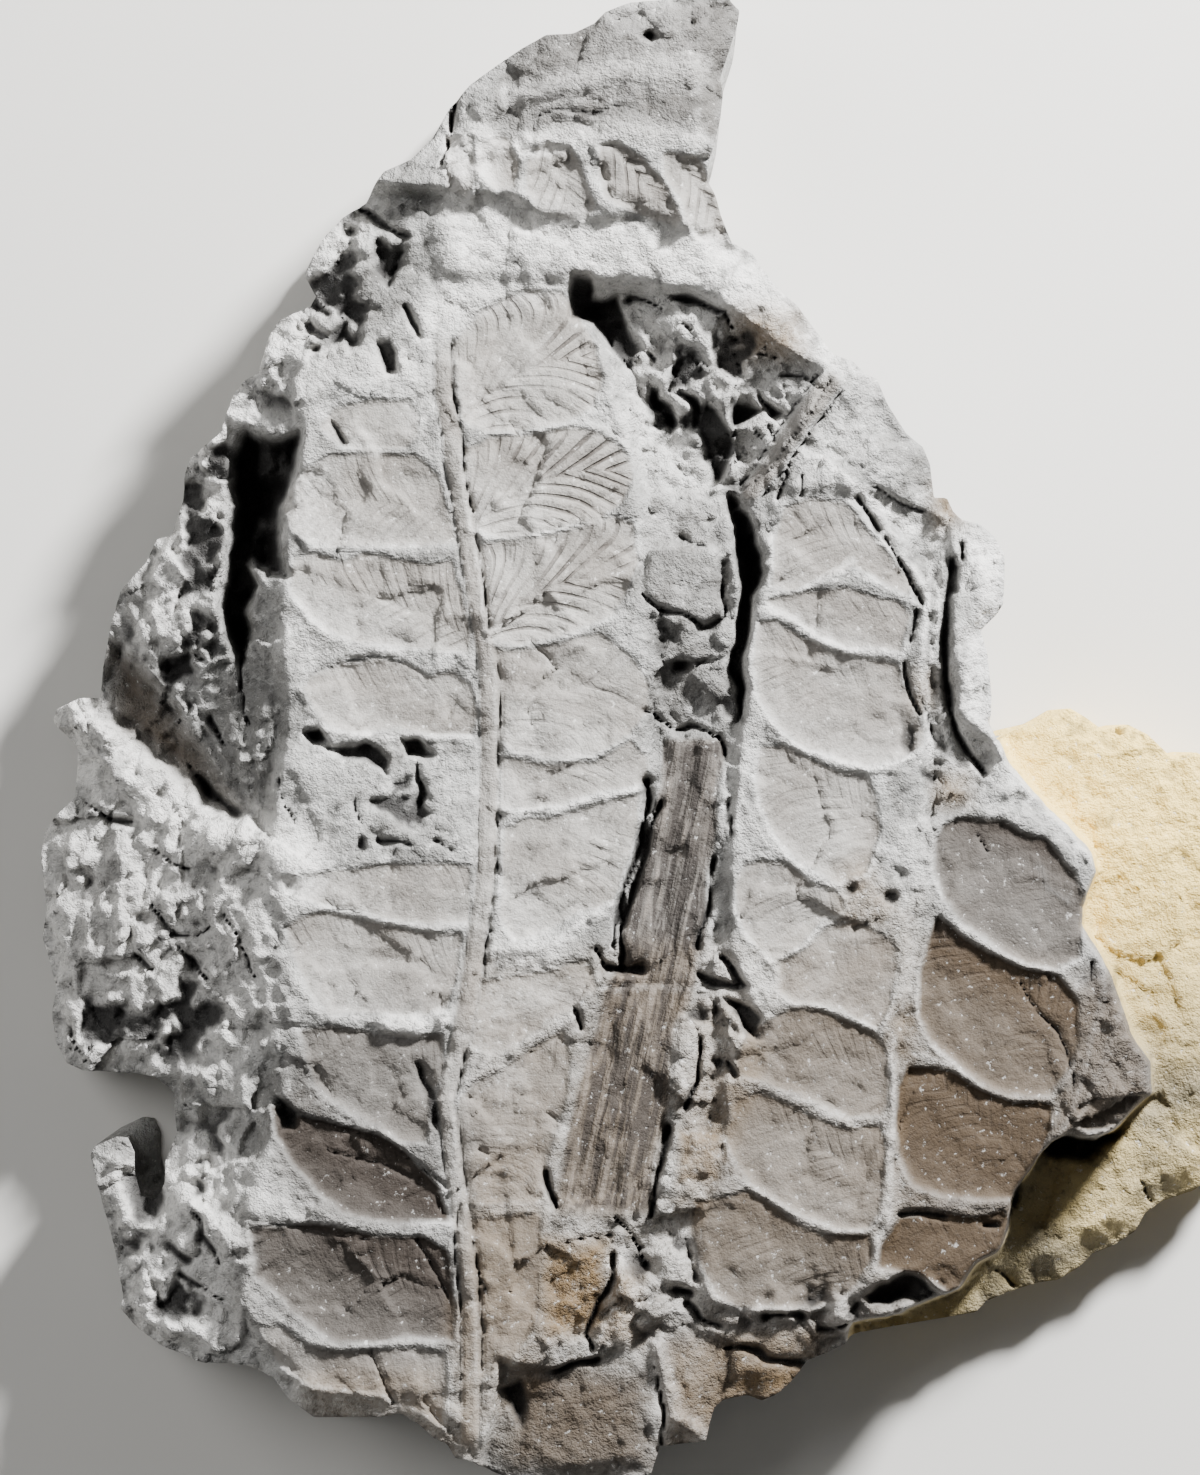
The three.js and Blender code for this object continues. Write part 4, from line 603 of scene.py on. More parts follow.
# The right-hand frond
# Beside the stem a second frond points the other way: pinnules with their tips to the left on a double
# axis, then a column of darker brown, deeper dishes, whose own axis leans over the ochre layer's edge.
RIGHT_PINNULES = [
    dict(base=(18, 11), tip=(8, 15.4), arch=-0.8, depth=0.16, lean=1.6, veins=0.54, brown=0.1, outline=[
        (8.6, 16.8), (10.4, 17.6), (12.8, 17.4), (15, 14.8), (17.8, 11.4), (17.4, 10.6), (15.4, 11.6),
        (13.5, 12.8), (11.4, 11.9), (9, 10.9), (7.7, 11.4), (8, 12.6), (7.9, 14.4)]),
    dict(base=(18, 8), tip=(7, 10), arch=-0.6, depth=0.19, lean=1.2, veins=0.3, brown=0.12, outline=[
        (7.2, 10.3), (9, 10.7), (11, 11), (13, 11.2), (14.6, 10.6), (16.8, 10.2), (17.7, 9.2), (17.1, 7.8),
        (16.9, 6.6), (15, 6.9), (13, 7), (11, 7.6), (9.2, 8.9), (7.8, 9.6)]),
    dict(base=(18.4, 0.8), tip=(6.4, 6.4), arch=-1.0, depth=0.26, lean=1.3, veins=0.48, brown=0.12, outline=[
        (6.8, 8.6), (8, 8.8), (10, 7.6), (12, 6.4), (14, 6.2), (16.8, 5.8), (17, 4.4), (17.9, 2.4),
        (18.6, 0.8), (18.4, -0.2), (16.8, -1.2), (14.4, -1.6), (12.2, -1), (10, -0.2), (8.4, 0.9),
        (7.4, 2.2), (6.6, 3.6), (6.3, 5.6)]),
    dict(base=(15.6, -7), tip=(6.8, -0.4), arch=-0.8, depth=0.22, lean=1.3, veins=0.54, brown=0.12, outline=[
        (6.9, -0.2), (8.6, 0), (10.2, -0.9), (12.4, -1.9), (14.6, -2.4), (15.2, -4), (15.4, -6),
        (14.9, -7.8), (14.4, -9.2), (12.4, -9.9), (10.8, -9.2), (9, -7.8), (7.7, -6.4), (6.9, -4.6),
        (6.6, -2.4)]),
    dict(base=(13, -13), tip=(5.2, -8.8), arch=-0.6, depth=0.19, lean=1.2, veins=0.36, brown=0.08, outline=[
        (5.6, -8.6), (7, -8.2), (8.4, -8.4), (10.4, -9.8), (12.4, -10.6), (13, -12), (11.2, -12.6),
        (9.8, -14.4), (7.6, -15.4), (6.1, -14), (5.2, -12), (5, -10)]),
    dict(base=(16.4, -18.6), tip=(8.2, -15.4), arch=-0.4, depth=0.16, lean=1.2, veins=0.36,
         brown=0.25, outline=[
        (8.2, -15.6), (10, -14.6), (11.6, -13), (14, -12.6), (16.4, -14), (16.8, -16.2), (16, -18.6),
        (15.2, -20.3), (13.4, -19.4), (11.4, -18.6), (9.4, -18.4), (8.2, -17.6)]),
    dict(base=(16.2, -25), tip=(5.2, -20.6), arch=-0.7, depth=0.23, lean=1.3, veins=0.36,
         brown=0.48, outline=[
        (9.2, -19), (11, -18.9), (13, -19.6), (15, -20.6), (16, -22.4), (16.2, -24.6), (15.6, -26.4),
        (13.4, -26.6), (11.4, -25.8), (9.4, -24.9), (7.2, -24), (5.4, -23.6), (5.2, -22.4), (6, -20.6),
        (7.4, -19.8)]),
    dict(base=(15.6, -32), tip=(4.6, -26.4), arch=-0.7, depth=0.25, lean=1.3, veins=0.42,
         brown=0.48, outline=[
        (5, -25.4), (7, -24.9), (9.4, -25.9), (11.4, -26.9), (13.4, -27.5), (15.4, -27.2), (16, -28.8),
        (15.6, -31), (15.3, -33.6), (14.4, -34.6), (12, -34.5), (10, -33.7), (8, -32.5), (6.2, -31.4),
        (5.2, -30), (4.6, -28)]),
    dict(base=(14.6, -39), tip=(2, -33), arch=-0.5, depth=0.26, lean=1.3, veins=0.42, brown=0.62, outline=[
        (2.2, -32.6), (4.6, -32.2), (6, -31.8), (7.8, -33), (9.8, -34.3), (12, -35), (14.6, -35),
        (14.9, -36.6), (13.8, -38.6), (12.2, -40), (9, -40.2), (5.4, -40.2), (3.8, -39.2), (2.6, -37),
        (1.9, -35)]),
    dict(base=(30.4, -13.4), tip=(19.2, -6), arch=-0.8, depth=0.46, lean=1.2, veins=0.3, brown=0.68, outline=[
        (19.4, -7), (20, -5.8), (21.6, -5.2), (24, -5.4), (25.6, -6.2), (27.4, -6.9), (29.2, -9),
        (30.2, -11), (29.9, -13.4), (29.6, -15.2), (28, -16), (25.6, -15.6), (23.6, -14.5), (21.4, -12.8),
        (20, -11), (19.3, -9)]),
    dict(base=(29.4, -24), tip=(18.6, -13), arch=-1.4, depth=0.54, lean=1.2, veins=0.48, brown=0.78, outline=[
        (19.5, -12.4), (21, -13.5), (23.4, -14.9), (25.6, -16), (28.2, -16.6), (29.6, -18.4), (29.7, -21),
        (29, -23.4), (27.6, -25), (24.6, -25.1), (22.6, -24.2), (20.6, -22.6), (19, -21.4), (18.2, -19.4),
        (18.2, -16.6), (18.8, -14)]),
    dict(base=(26.6, -31.6), tip=(16.8, -22.8), arch=-1.0, depth=0.54, lean=1.2, veins=0.48,
         brown=0.95, outline=[
        (17.4, -23), (18.8, -23), (20.4, -23.3), (22.8, -24.9), (25, -25.6), (27.7, -25.8), (27.6, -27.6),
        (26.8, -29.6), (26, -31.4), (25, -32.4), (22.6, -32.6), (20, -32.3), (17.8, -31.4), (17, -30),
        (16.5, -27.4), (16.8, -24.6)]),
    dict(base=(24.4, -36.6), tip=(15.6, -34.6), arch=-0.4, depth=0.51, lean=1.2, veins=0.42,
         brown=1.0, outline=[
        (16.8, -33.9), (20, -33.5), (22, -33.9), (24.4, -33.1), (24.8, -34.6), (24.2, -36.4), (22.2, -38),
        (20.4, -39.2), (19.2, -38.4), (17.6, -37.6), (15.2, -37.4), (15.6, -35.6)]),
    dict(base=(29.4, -27), tip=(34.8, -25), arch=0.3, depth=0.19, lean=1.2, veins=0.24, brown=0.45, outline=[
        (29.6, -27.2), (29.4, -26), (31, -25.4), (33, -25.2), (34.4, -25.2), (33.6, -26.4), (32, -27.2),
        (30.4, -27.6)]),
]
# Rise, width and course of each
RIGHT_RIDGES = [
    (0.16, 0.58, [(19.2, 14.5), (18.8, 11), (18.6, 8), (18.6, 5), (19, 2), (19.2, -1)]),
    (0.16, 0.51, [(20.1, 14.3), (19.7, 11), (19.4, 8), (19.5, 5), (19.9, 2), (20.4, -0.6)]),
    (0.17, 0.64, [(31.6, -15.5), (31.2, -19), (30.2, -22.6), (29.4, -25.4), (27.6, -29), (25.8, -32.4)]),
    (0.1, 0.4, [(32.8, -18.4), (32, -21.4), (30.6, -24.6), (29.6, -27)]),
    (0.21, 0.83, [(11.3, 20.3), (14.5, 17.7), (17.5, 15.4), (19.8, 15)]),
    (0.21, 0.85, [(16.4, -21), (16.4, -25), (16, -29), (15.8, -34), (15.2, -36.6)]),
    (0.14, 0.64, [(25, -1.6), (28, -5), (30.4, -8.4)]),
    (0.09, 0.51, [(9.5, 10.8), (11.5, 12), (13.5, 13)]),
    (0.14, 0.64, [(7, 9.6), (9.1, 8.8), (11, 7.3), (13, 6.6), (15, 6.5), (17, 6.2)]),
    (0.16, 0.64, [(6, 3), (7.4, 1.6), (9.4, 0), (12, -1.4), (14.4, -2), (16.4, -1.8)]),
    (0.14, 0.64, [(6.2, -5), (7.4, -7), (9, -8.3), (11, -10.1), (13, -10.2)]),
    (0.1, 0.51, [(8.2, -18.2), (11, -18.7), (13, -19.5), (15.5, -20.6)]),
    (0.14, 0.58, [(4.2, -24), (7, -24.5), (9.5, -25.4), (11.5, -26.4), (13.5, -27), (15.5, -26.8)]),
    (0.17, 0.58, [(5.2, -31), (8, -32.8), (10, -34), (12, -34.8), (14.5, -34.8)]),
    (0.14, 0.58, [(1.7, -35), (2.3, -37.2), (3.6, -39.5), (5, -40.5), (9, -40.4)]),
    (0.17, 0.51, [(19.4, -11.4), (21, -13.2), (23.6, -14.8), (25.6, -15.8), (28.6, -16.3)]),
    (0.17, 0.51, [(18.3, -22.2), (20.5, -23), (22.8, -24.6), (24.6, -25.4), (27.6, -25.4)]),
    (0.17, 0.51, [(16.6, -32.6), (20, -32.9), (24.4, -32.8)]),
    (0.1, 0.4, [(26.8, -8.5), (27.2, -10), (28.8, -11.3)]),
    (0.14, 0.58, [(15.3, 14.3), (17.2, 13.2), (18.6, 11.4)]),
    (0.1, 0.51, [(19.2, -7), (19.2, -9), (19.8, -11)]),
]
# Depth, width and course of each
RIGHT_CRACKS = [
    (1.6, 1.3, [
        (20.6, 13), (20.3, 9.8), (20.1, 7), (20.2, 4.4), (20.6, 2.4), (21, 0.8), (21.8, -0.6), (23, -2)]),
    (0.9, 0.8, [(18, 9.4), (17.6, 7.4)]),
    (0.9, 0.7, [(17.2, 5.8), (17.6, 3.8), (18.3, 2.2)]),
    (1.0, 0.8, [(15.8, 14.6), (16.6, 13.4), (17.4, 12), (18.4, 10)]),
    (0.6, 0.5, [(18.4, 3.6), (19, 2), (19.4, 0.2)]),
    (1.4, 1.4, [(20.9, 12.6), (20.8, 11)]),
    (1.0, 0.8, [(21.2, 14.2), (21.3, 13.2)]),
    (0.9, 0.8, [(16.7, -33.6), (18, -33.4), (20, -33.8)]),
    (0.9, 0.8, [(23, -34.4), (23.8, -34.4)]),
    (0.5, 0.4, [(29.1, -25), (29.2, -23.6), (28.8, -22), (28.2, -20.4), (26.4, -18.8), (25.4, -17)]),
    (0.5, 0.35, [(30.6, -15.6), (30.7, -18.4)]),
    (0.5, 0.4, [(22.4, -6.4), (23.2, -7.6)]),
    (1.2, 0.9, [(13.8, 17.6), (14.6, 16.4), (15.3, 15.2)]),
    (0.5, 0.5, [(15, 18.4), (17, 17), (18.6, 16.4)]),
    (1.0, 0.7, [(9, 19.9), (8.6, 18.6), (8.1, 17.4)]),
    (1.0, 0.7, [(10, 19.2), (9.8, 17.6)]),
    (0.4, 0.4, [(12, 26), (10.2, 23), (7.4, 19.4), (5.2, 17.9)]),
]


def press_right_frond(face):
    for pinnule in RIGHT_PINNULES:
        press_pinnule(face, **pinnule)
    for rise, width, points in RIGHT_RIDGES:
        face.raise_ridge(points, rise, width, 0.5)
        # Painted highlight along each ridge.
        face.brush(face.pale, points, width * 1.1, 0.7)
    for depth, width, points in RIGHT_CRACKS:
        face.cut(points, depth, width, 0.9, ragged=0.6)


# Breaks in the upper face
# Where the stone broke unevenly it left black slots and pits, darkened with dirt and painted shade, lumps
# with a painted highlight along them, and a spur of fractured ground at the left that the light catches.
# Depth, width of the edge and outline of each
HOLES = [
    (6.2, 1.2, [
        (-29.8, 22.6), (-28, 21.5), (-26.5, 22), (-26.2, 20), (-26.6, 18.5), (-27.3, 17), (-27.6, 15.5),
        (-27.3, 14), (-27, 12.3), (-28, 13.2), (-29, 13.6), (-29.4, 12.8), (-28.9, 11.3), (-29.3, 9),
        (-30, 6), (-30.8, 7.5), (-31.3, 10), (-31, 13), (-30.7, 15.3), (-30.5, 17), (-31.2, 18.6),
        (-30.6, 21)]),
    (2.8, 0.8, [
        (-6.8, 33.3), (-5.5, 33.3), (-5.2, 32), (-3.2, 32), (-2.5, 30.5), (-2, 28.5), (-2.3, 26.6),
        (-3.2, 27), (-4.3, 29), (-5.2, 30.2), (-6.6, 30.5)]),
    (2.8, 0.7, [(-1.3, 25.8), (-0.6, 25.8), (0.1, 24.8), (1.0, 22.6), (0.4, 22.4), (-0.6, 24)]),
    (2.8, 0.7, [(0.9, 25.1), (2.4, 24.9), (3.2, 23.8), (3.1, 22.6), (2.6, 22.4), (2.2, 23.8)]),
    (2.8, 0.8, [
        (3.2, 24.6), (4.3, 24), (5, 22.5), (4.8, 21.5), (4, 20.5), (3.5, 18.7), (3.1, 18.8), (3, 22)]),
    (2.2, 0.7, [(5.2, 24.8), (6.9, 23.6), (5.2, 22.7)]),
    (2.2, 0.7, [(6.8, 24.6), (8.7, 23), (7.6, 22.9)]),
    (4.8, 0.8, [
        (4.2, 17.7), (5, 17.2), (5.6, 16.2), (6.4, 15.3), (7.3, 13.8), (7.7, 12.6), (7.4, 11.6),
        (6.6, 10.2), (6.4, 8.8), (6.2, 7), (6.1, 5), (5.7, 3.3), (5.3, 1.4), (5.2, 4), (4.8, 5),
        (4.9, 7), (5.1, 9), (5.6, 10.3), (5.7, 12.2), (5.2, 13.9), (4.8, 15.6)]),
    (2.0, 0.7, [(4.3, -18.2), (7.3, -19.3), (6.8, -20.7), (5.4, -19.8)]),
    (3.4, 0.8, [
        (14.2, -39.5), (15.5, -38.5), (17, -38), (18.3, -38.3), (19.5, -39.4), (18, -40.2), (14.5, -40)]),
    (1.4, 0.7, [(-20.6, 28.4), (-20.3, 27), (-19.5, 26.6), (-18.9, 27.9), (-19.2, 28.6)]),
    (0.7, 0.6, [(-23.9, 22.9), (-23.4, 22.9), (-23, 21.8), (-23.6, 21.8)]),
    (2.0, 0.6, [(-26, 0.5), (-24.6, 0.5), (-24.2, -0.3), (-25.2, -0.3)]),
    (1.6, 0.6, [(-24.2, -0.6), (-21.5, -0.6), (-20, -1.4), (-19.8, -2.6), (-20.6, -2.2), (-22, -1.4)]),
    (2.4, 0.6, [(-18.8, 0.3), (-17.6, 0), (-16.3, -0.9), (-17, -1), (-18.4, -0.7)]),
    (2.2, 0.8, [(-28, -25.4), (-26.6, -26.2), (-26.2, -27.2), (-27.4, -27.4)]),
    (1.2, 0.7, [(-17.2, -23), (-16.8, -23.4), (-16.5, -25.4), (-16.4, -27), (-17, -26.6), (-17.1, -24.6)]),
    (1.2, 0.9, [(-11.4, -46.2), (-10.2, -45.4), (-9.9, -47.6), (-10.6, -49.2)]),
    (3.0, 0.9, [(28.8, -27.9), (27.5, -29.3), (28.5, -29.9), (30.5, -29.3), (32.8, -27.4)]),
    (1.8, 0.6, [(-1.4, 50.9), (-0.9, 50.6), (-1.3, 50.1), (-1.9, 50.4)]),
    (1.6, 0.6, [(1.8, 52.2), (2.4, 52), (2.2, 51.5)]),
    (1.6, 0.8, [(1.1, 5.8), (1.9, 5.8), (1.9, 5.1), (1.2, 5)]),
]
BROWN_PIT = [
    (-40, 7), (-37.5, 5), (-35.5, 3), (-34.5, 1), (-33.5, -1), (-32, -3), (-31, -4.7), (-33.3, -4),
    (-34.3, -3), (-35.8, -1.8), (-38, 0), (-39.3, 1.5), (-40.1, 3.2),
]
SPUR_CRACK = [(-34.6, -1.6), (-33, -3.4), (-30.6, -5.2)]
# Depth, width and course of each
CRACKS = [
    (1.6, 1.1, [(-14.2, 47), (-15.2, 44.6), (-15.6, 43), (-16.2, 41)]),
    (0.4, 0.5, [(-9, 44.6), (-6, 45), (-2, 45.1)]),
    (1.2, 0.8, [(-2.2, 31.8), (-1, 31.6), (0, 31.2)]),
    (1.4, 0.9, [(0.6, 31.9), (2.6, 31.6), (4.4, 31.2), (4.9, 30)]),
    (0.9, 0.7, [(5, 27.8), (6.8, 28), (8.5, 27.7)]),
    (0.9, 0.6, [(8.5, 26.2), (10, 26), (11.2, 25.3)]),
    (0.9, 0.6, [(1.3, 29.9), (1.8, 29.4)]),
    (0.9, 0.6, [(-1.4, 28.1), (-1, 27.6)]),
    (0.9, 0.7, [(2.1, 27.2), (2.6, 26.8)]),
    (0.8, 0.5, [(6.5, 22.4), (7, 21.4)]),
    (0.8, 0.5, [(7.4, 22.4), (8, 21)]),
    (1.1, 0.7, [(-1.4, 2.2), (0.5, 1.2), (2.2, 0.9), (3.8, 0.5), (4.5, -1.2)]),
    (0.7, 0.5, [(1.7, 14.5), (3, 13.9)]),
    (0.8, 0.5, [(-1.3, 10.2), (0, 9.4), (2.5, 8.2), (4.1, 9.2), (4.1, 13)]),
    (1.4, 0.7, [(-17.5, -1.6), (-17.2, -3.5), (-17.4, -5)]),
    (0.9, 0.6, [(-27.3, -2.5), (-27, -4)]),
    (1.2, 0.7, [(-26.8, -4.6), (-26.3, -6)]),
    (0.8, 0.6, [(-20, -7), (-18.6, -7.2), (-18, -7.4)]),
    (0.9, 0.6, [(-16, -6.9), (-15, -7.6)]),
    (0.7, 0.5, [(-22, -4), (-21.6, -5.6)]),
    (1.2, 0.5, [(-30.3, 7.5), (-30, 4.4), (-29.6, 1.5)]),
    (1.3, 0.9, [(-22, 38), (-20, 37), (-18.5, 36.4)]),
    (0.9, 0.7, [(-18.5, 35), (-19.5, 33)]),
    (0.9, 0.7, [(-18.2, 31), (-17, 29)]),
    (0.9, 0.8, [(-24.3, 31.2), (-23.7, 30.8)]),
    (1.3, 0.9, [(-32.5, 1.7), (-31.5, 0)]),
    (1.0, 0.7, [(-42, -4.5), (-40.4, -5.6), (-38.5, -6)]),
    (1.0, 0.7, [(-37, -7.5), (-35.4, -8.6), (-34, -9)]),
    (1.1, 0.7, [(-36.7, -11.5), (-35.5, -13.5), (-34, -13.7), (-32.5, -13)]),
    (1.1, 0.7, [(-35, -14.5), (-33.6, -15.6), (-32.5, -17)]),
    (1.0, 0.7, [(-38, -15.2), (-36.5, -16.5)]),
    (1.0, 0.7, [(-31.4, -12), (-30, -14.5), (-29, -16.5)]),
    (0.9, 0.7, [(-42.6, -20), (-42.2, -21.6), (-41.5, -23)]),
    (1.0, 0.8, [(-33.5, -34), (-33.4, -35.6), (-32, -37)]),
    (1.0, 0.8, [(-35.5, -36.3), (-34, -37)]),
    (0.9, 0.8, [(-34.5, -38), (-31.5, -39.5)]),
    (1.2, 0.7, [(-3.8, -33.3), (-2.3, -34.5), (-1.8, -37.2)]),
    (1.2, 0.7, [(-3.7, -36.5), (-4, -38.2), (-4.8, -39.8), (-5.6, -42), (-5.3, -43.3)]),
    (0.8, 0.5, [(-6.7, -35.7), (-5.2, -35.2), (-3.6, -35)]),
    (1.2, 0.7, [(-8.3, -44.9), (-6.5, -44.3), (-5, -43.9)]),
    (1.3, 0.7, [(-0.6, -44.5), (-0.2, -46.5), (0.2, -47.8), (-0.2, -50)]),
    (1.3, 0.8, [(0.3, -39.4), (1.7, -39.7)]),
    (1.3, 0.8, [(1.5, -40.5), (2.8, -41.4), (4, -41.8)]),
    (1.3, 0.8, [(7.5, -41.2), (8.8, -41.2), (9.8, -40.9)]),
    (1.2, 0.8, [(11.5, -41.6), (13, -41.4)]),
    (1.2, 0.7, [(4.4, -43.8), (7, -44.3), (10.2, -44.2)]),
    (0.6, 0.4, [(23.3, -37.2), (25, -38.8)]),
    (0.5, 0.4, [(34.5, -31.5), (35.2, -33)]),
    (0.9, 0.8, [(26, -31), (24.8, -35)]),
]
# Rise, width and course of each
CRESTS = [
    (1.3, 5.6, [(-42.6, 1.6), (-39, -2.4), (-33, -6.6), (-27, -8.8)]),
    (1.3, 3, [(-33, 20.5), (-31, 24), (-28, 28)]),
    (1.2, 4, [(-34, -33), (-31, -36.5)]),
    (0.9, 2, [(-19.5, -20.2), (-17.8, -20.2)]),
    (0.8, 1.2, [(-15.9, -19.5), (-15.7, -20)]),
    (0.8, 2.4, [(-3.4, -37.5), (-3, -40), (-3, -42)]),
    (0.7, 1.6, [(-0.5, -43), (0.3, -46), (0.7, -47.7)]),
    (0.9, 2, [(1.2, -48.2), (2.2, -49)]),
    (0.9, 1.8, [(12.4, -40), (13, -41)]),
    (0.8, 2.4, [(-10.4, 46), (-4, 47.6), (2, 48)]),
    (0.6, 1.8, [(-10, 42.8), (-4, 43.6), (2, 43.2)]),
]
TWIG = [(12, 25.8), (10, 23.2), (8, 20.4), (6.2, 18)]
# Depth of the pits, their span and the outline of the area
PITTED_AREAS = [
    (1.3, 3.0, [(-44, -3), (-36, -6), (-29, -9), (-28, -14), (-28, -19), (-31, -23), (-43, -23)]),
    (1.1, 2.6, [(-8, 33), (5, 32.6), (10, 28), (9, 22), (5, 17.6), (0, 19), (-4, 26)]),
    (1.5, 2.4, [(-29, 24), (-24.6, 24), (-19.5, 28), (-17.6, 31), (-19, 37), (-24, 38)]),
    (1.2, 2.8, [(-35, 20), (-30.6, 24), (-31, 8), (-33, 0), (-40, 4), (-38, 12)]),
    (1.0, 2.6, [(-39, -30), (-31, -26), (-30, -34), (-30, -42), (-39, -41)]),
    (0.7, 2.2, [(-26.5, 0), (-15, -0.6), (-15.4, -8), (-26.5, -8.6)]),
    (0.7, 2.4, [(-0.6, 13), (4.6, 14), (5, 2), (-1, 3)]),
    (0.7, 2.0, [(-3.4, -34), (2, -35), (4, -42), (-2, -43)]),
    (0.8, 2.6, [(4.6, -39.6), (14, -38), (22, -38), (16, -41.6), (6, -42)]),
    (0.6, 1.4, [(13, -7.6), (17.4, -7), (17.4, -12.6), (12.6, -13.4)]),
    (0.5, 1.8, [(16.6, 2), (19, 1), (22, -3), (19, -5), (17, -2)]),
    (0.6, 1.8, [(1, -18.6), (6, -18), (8, -21), (4, -26), (1, -30)]),
]
FIRST_PIT_SEED = 411
# The upper face falls away a little towards its broken edge
RIM_DROP = 1.5
RIM_WIDTH = 2.2
LEAST_HEIGHT = 3.4


def break_face(face):
    for rise, width, points in CRESTS:
        face.raise_ridge(points, rise, width, 2.0)
        # Painted highlight along each crest, on the side the lamp would light.
        face.brush(face.pale, points, width * 1.5)
    for depth, edge, points in HOLES:
        face.break_out(points, depth, edge)
    face.break_out(BROWN_PIT, depth=3.0, edge=2.2, dirt=0.3)
    face.cut(SPUR_CRACK, depth=1.2, width=1.6, dirt=0.9, ragged=2.0)
    for seed, (depth, span, points) in enumerate(PITTED_AREAS, FIRST_PIT_SEED):
        face.pit(points, depth, span, seed)
    for depth, width, points in CRACKS:
        face.cut(points, depth, width, 0.9, ragged=2.2)
    face.raise_ridge(TWIG, rise=1.1, width=2.2, ragged=0.3)
    face.brush(face.film, TWIG, width=2.0)
    face.brush(face.brown, TWIG, width=1.8, strength=0.4)
    for side in (-0.8, 0.8):
        beside = [(px + side, py - side * 0.7) for px, py in TWIG]
        face.cut(beside, depth=0.6, width=0.4, dirt=0.8, ragged=0.8)
    # Grains stand out where the stone is rough and bare, with dirt and painted shade in the low places
    # between them
    grain = (0.05 + 0.28 * face.rough) * (1 - 0.8 * np.clip(face.film, 0, 1)) * (1 - face.striated)
    grains = crags(face.x, face.y, 1.3, 431, 3) + 0.8 * crags(face.x, face.y, 0.55, 441, 2)
    face.z += grain * grains
    bare = 1 - np.clip(face.film + face.striated, 0, 1)
    face.dirt = np.maximum(face.dirt, (0.15 + 0.3 * bare) * smoothstep(-grains, 0.1, 0.7))
    rim = 1 - smoothstep(inside_distance(OUTLINE, face.x, face.y), 0, RIM_WIDTH)
    face.z -= RIM_DROP * rim * (0.6 + 0.4 * lumps(face.x, face.y, 4, 7))
    face.rough = np.maximum(face.rough, 0.5 * (1 - face.film))
    face.z = np.maximum(face.z, LEAST_HEIGHT)


# Stains
# Iron has coloured some of the stone: rusty patches along the lower edge and round the pits, a dark film
# on the lower left pinnules and a smooth tan plate by the foot of the stem. The whiter areas, the ridges
# too, are partly white crust and fresh stone and partly painted highlight.
STAIN_EDGE = 3
PIT_FLOOR = [(-40, 7), (-37.5, 5), (-33.5, -1), (-31, -4.7), (-34.3, -3), (-39.3, 1.5)]
# Strength and outline of each stained area
BROWN_AREAS = [
    (0.15, [(-28, 24), (-24, 24), (-19.5, 28), (-18, 35), (-22, 38)]),
    (0.15, [(-43, -7), (-34, -10), (-29, -13), (-30, -20), (-43, -20)]),
    (0.55, [(-13, 43.6), (-4, 43), (4.6, 42.6), (6, 54), (-9, 52)]),
    (0.6, [
        (-26.5, -20.6), (-19, -21.4), (-16, -23), (-15.4, -31), (-18, -35), (-25, -34.4), (-28, -31),
        (-28, -26)]),
    (0.5, [(-31, -33), (-20, -34.6), (-14, -35), (-14, -44), (-24, -46), (-31, -41)]),
    (0.36, [(-15, -20), (-7, -18), (-8, -44), (-14, -44)]),
    (0.85, [(-10.5, -44.6), (-1, -44.6), (-0.8, -52), (-12, -53)]),
    (0.6, [(-2, -42), (12, -41), (10, -47), (1, -51)]),
    (0.42, [(3, -23), (17, -20), (16, -42), (3, -42)]),
    (0.3, [(18.6, -5), (30, -7), (34, -20), (32, -27), (24, -40), (15, -41), (16.6, -22)]),
    (0.75, [(17, -23.4), (28, -24.6), (27, -32), (24, -40), (15.6, -38)]),
    (0.35, [(-1, 17.4), (5.4, 17.4), (5.4, 2), (-1.4, 2)]),
    (0.18, [(-27, -12), (-15, -13), (-15.4, -20), (-27, -20)]),
    (0.8, [(30, -15.4), (32.2, -15.6), (35.4, -22.6), (35.2, -26), (29, -28.6), (25.6, -33.6), (27, -28)]),
    # The pit's floor: a rusty stain, deepened to dark brown as painted shade in the hollow.
    (0.75, PIT_FLOOR),
    (0.12, [(-3, 32), (5, 31), (10, 27), (8, 21), (3, 19), (-1, 25)]),
]
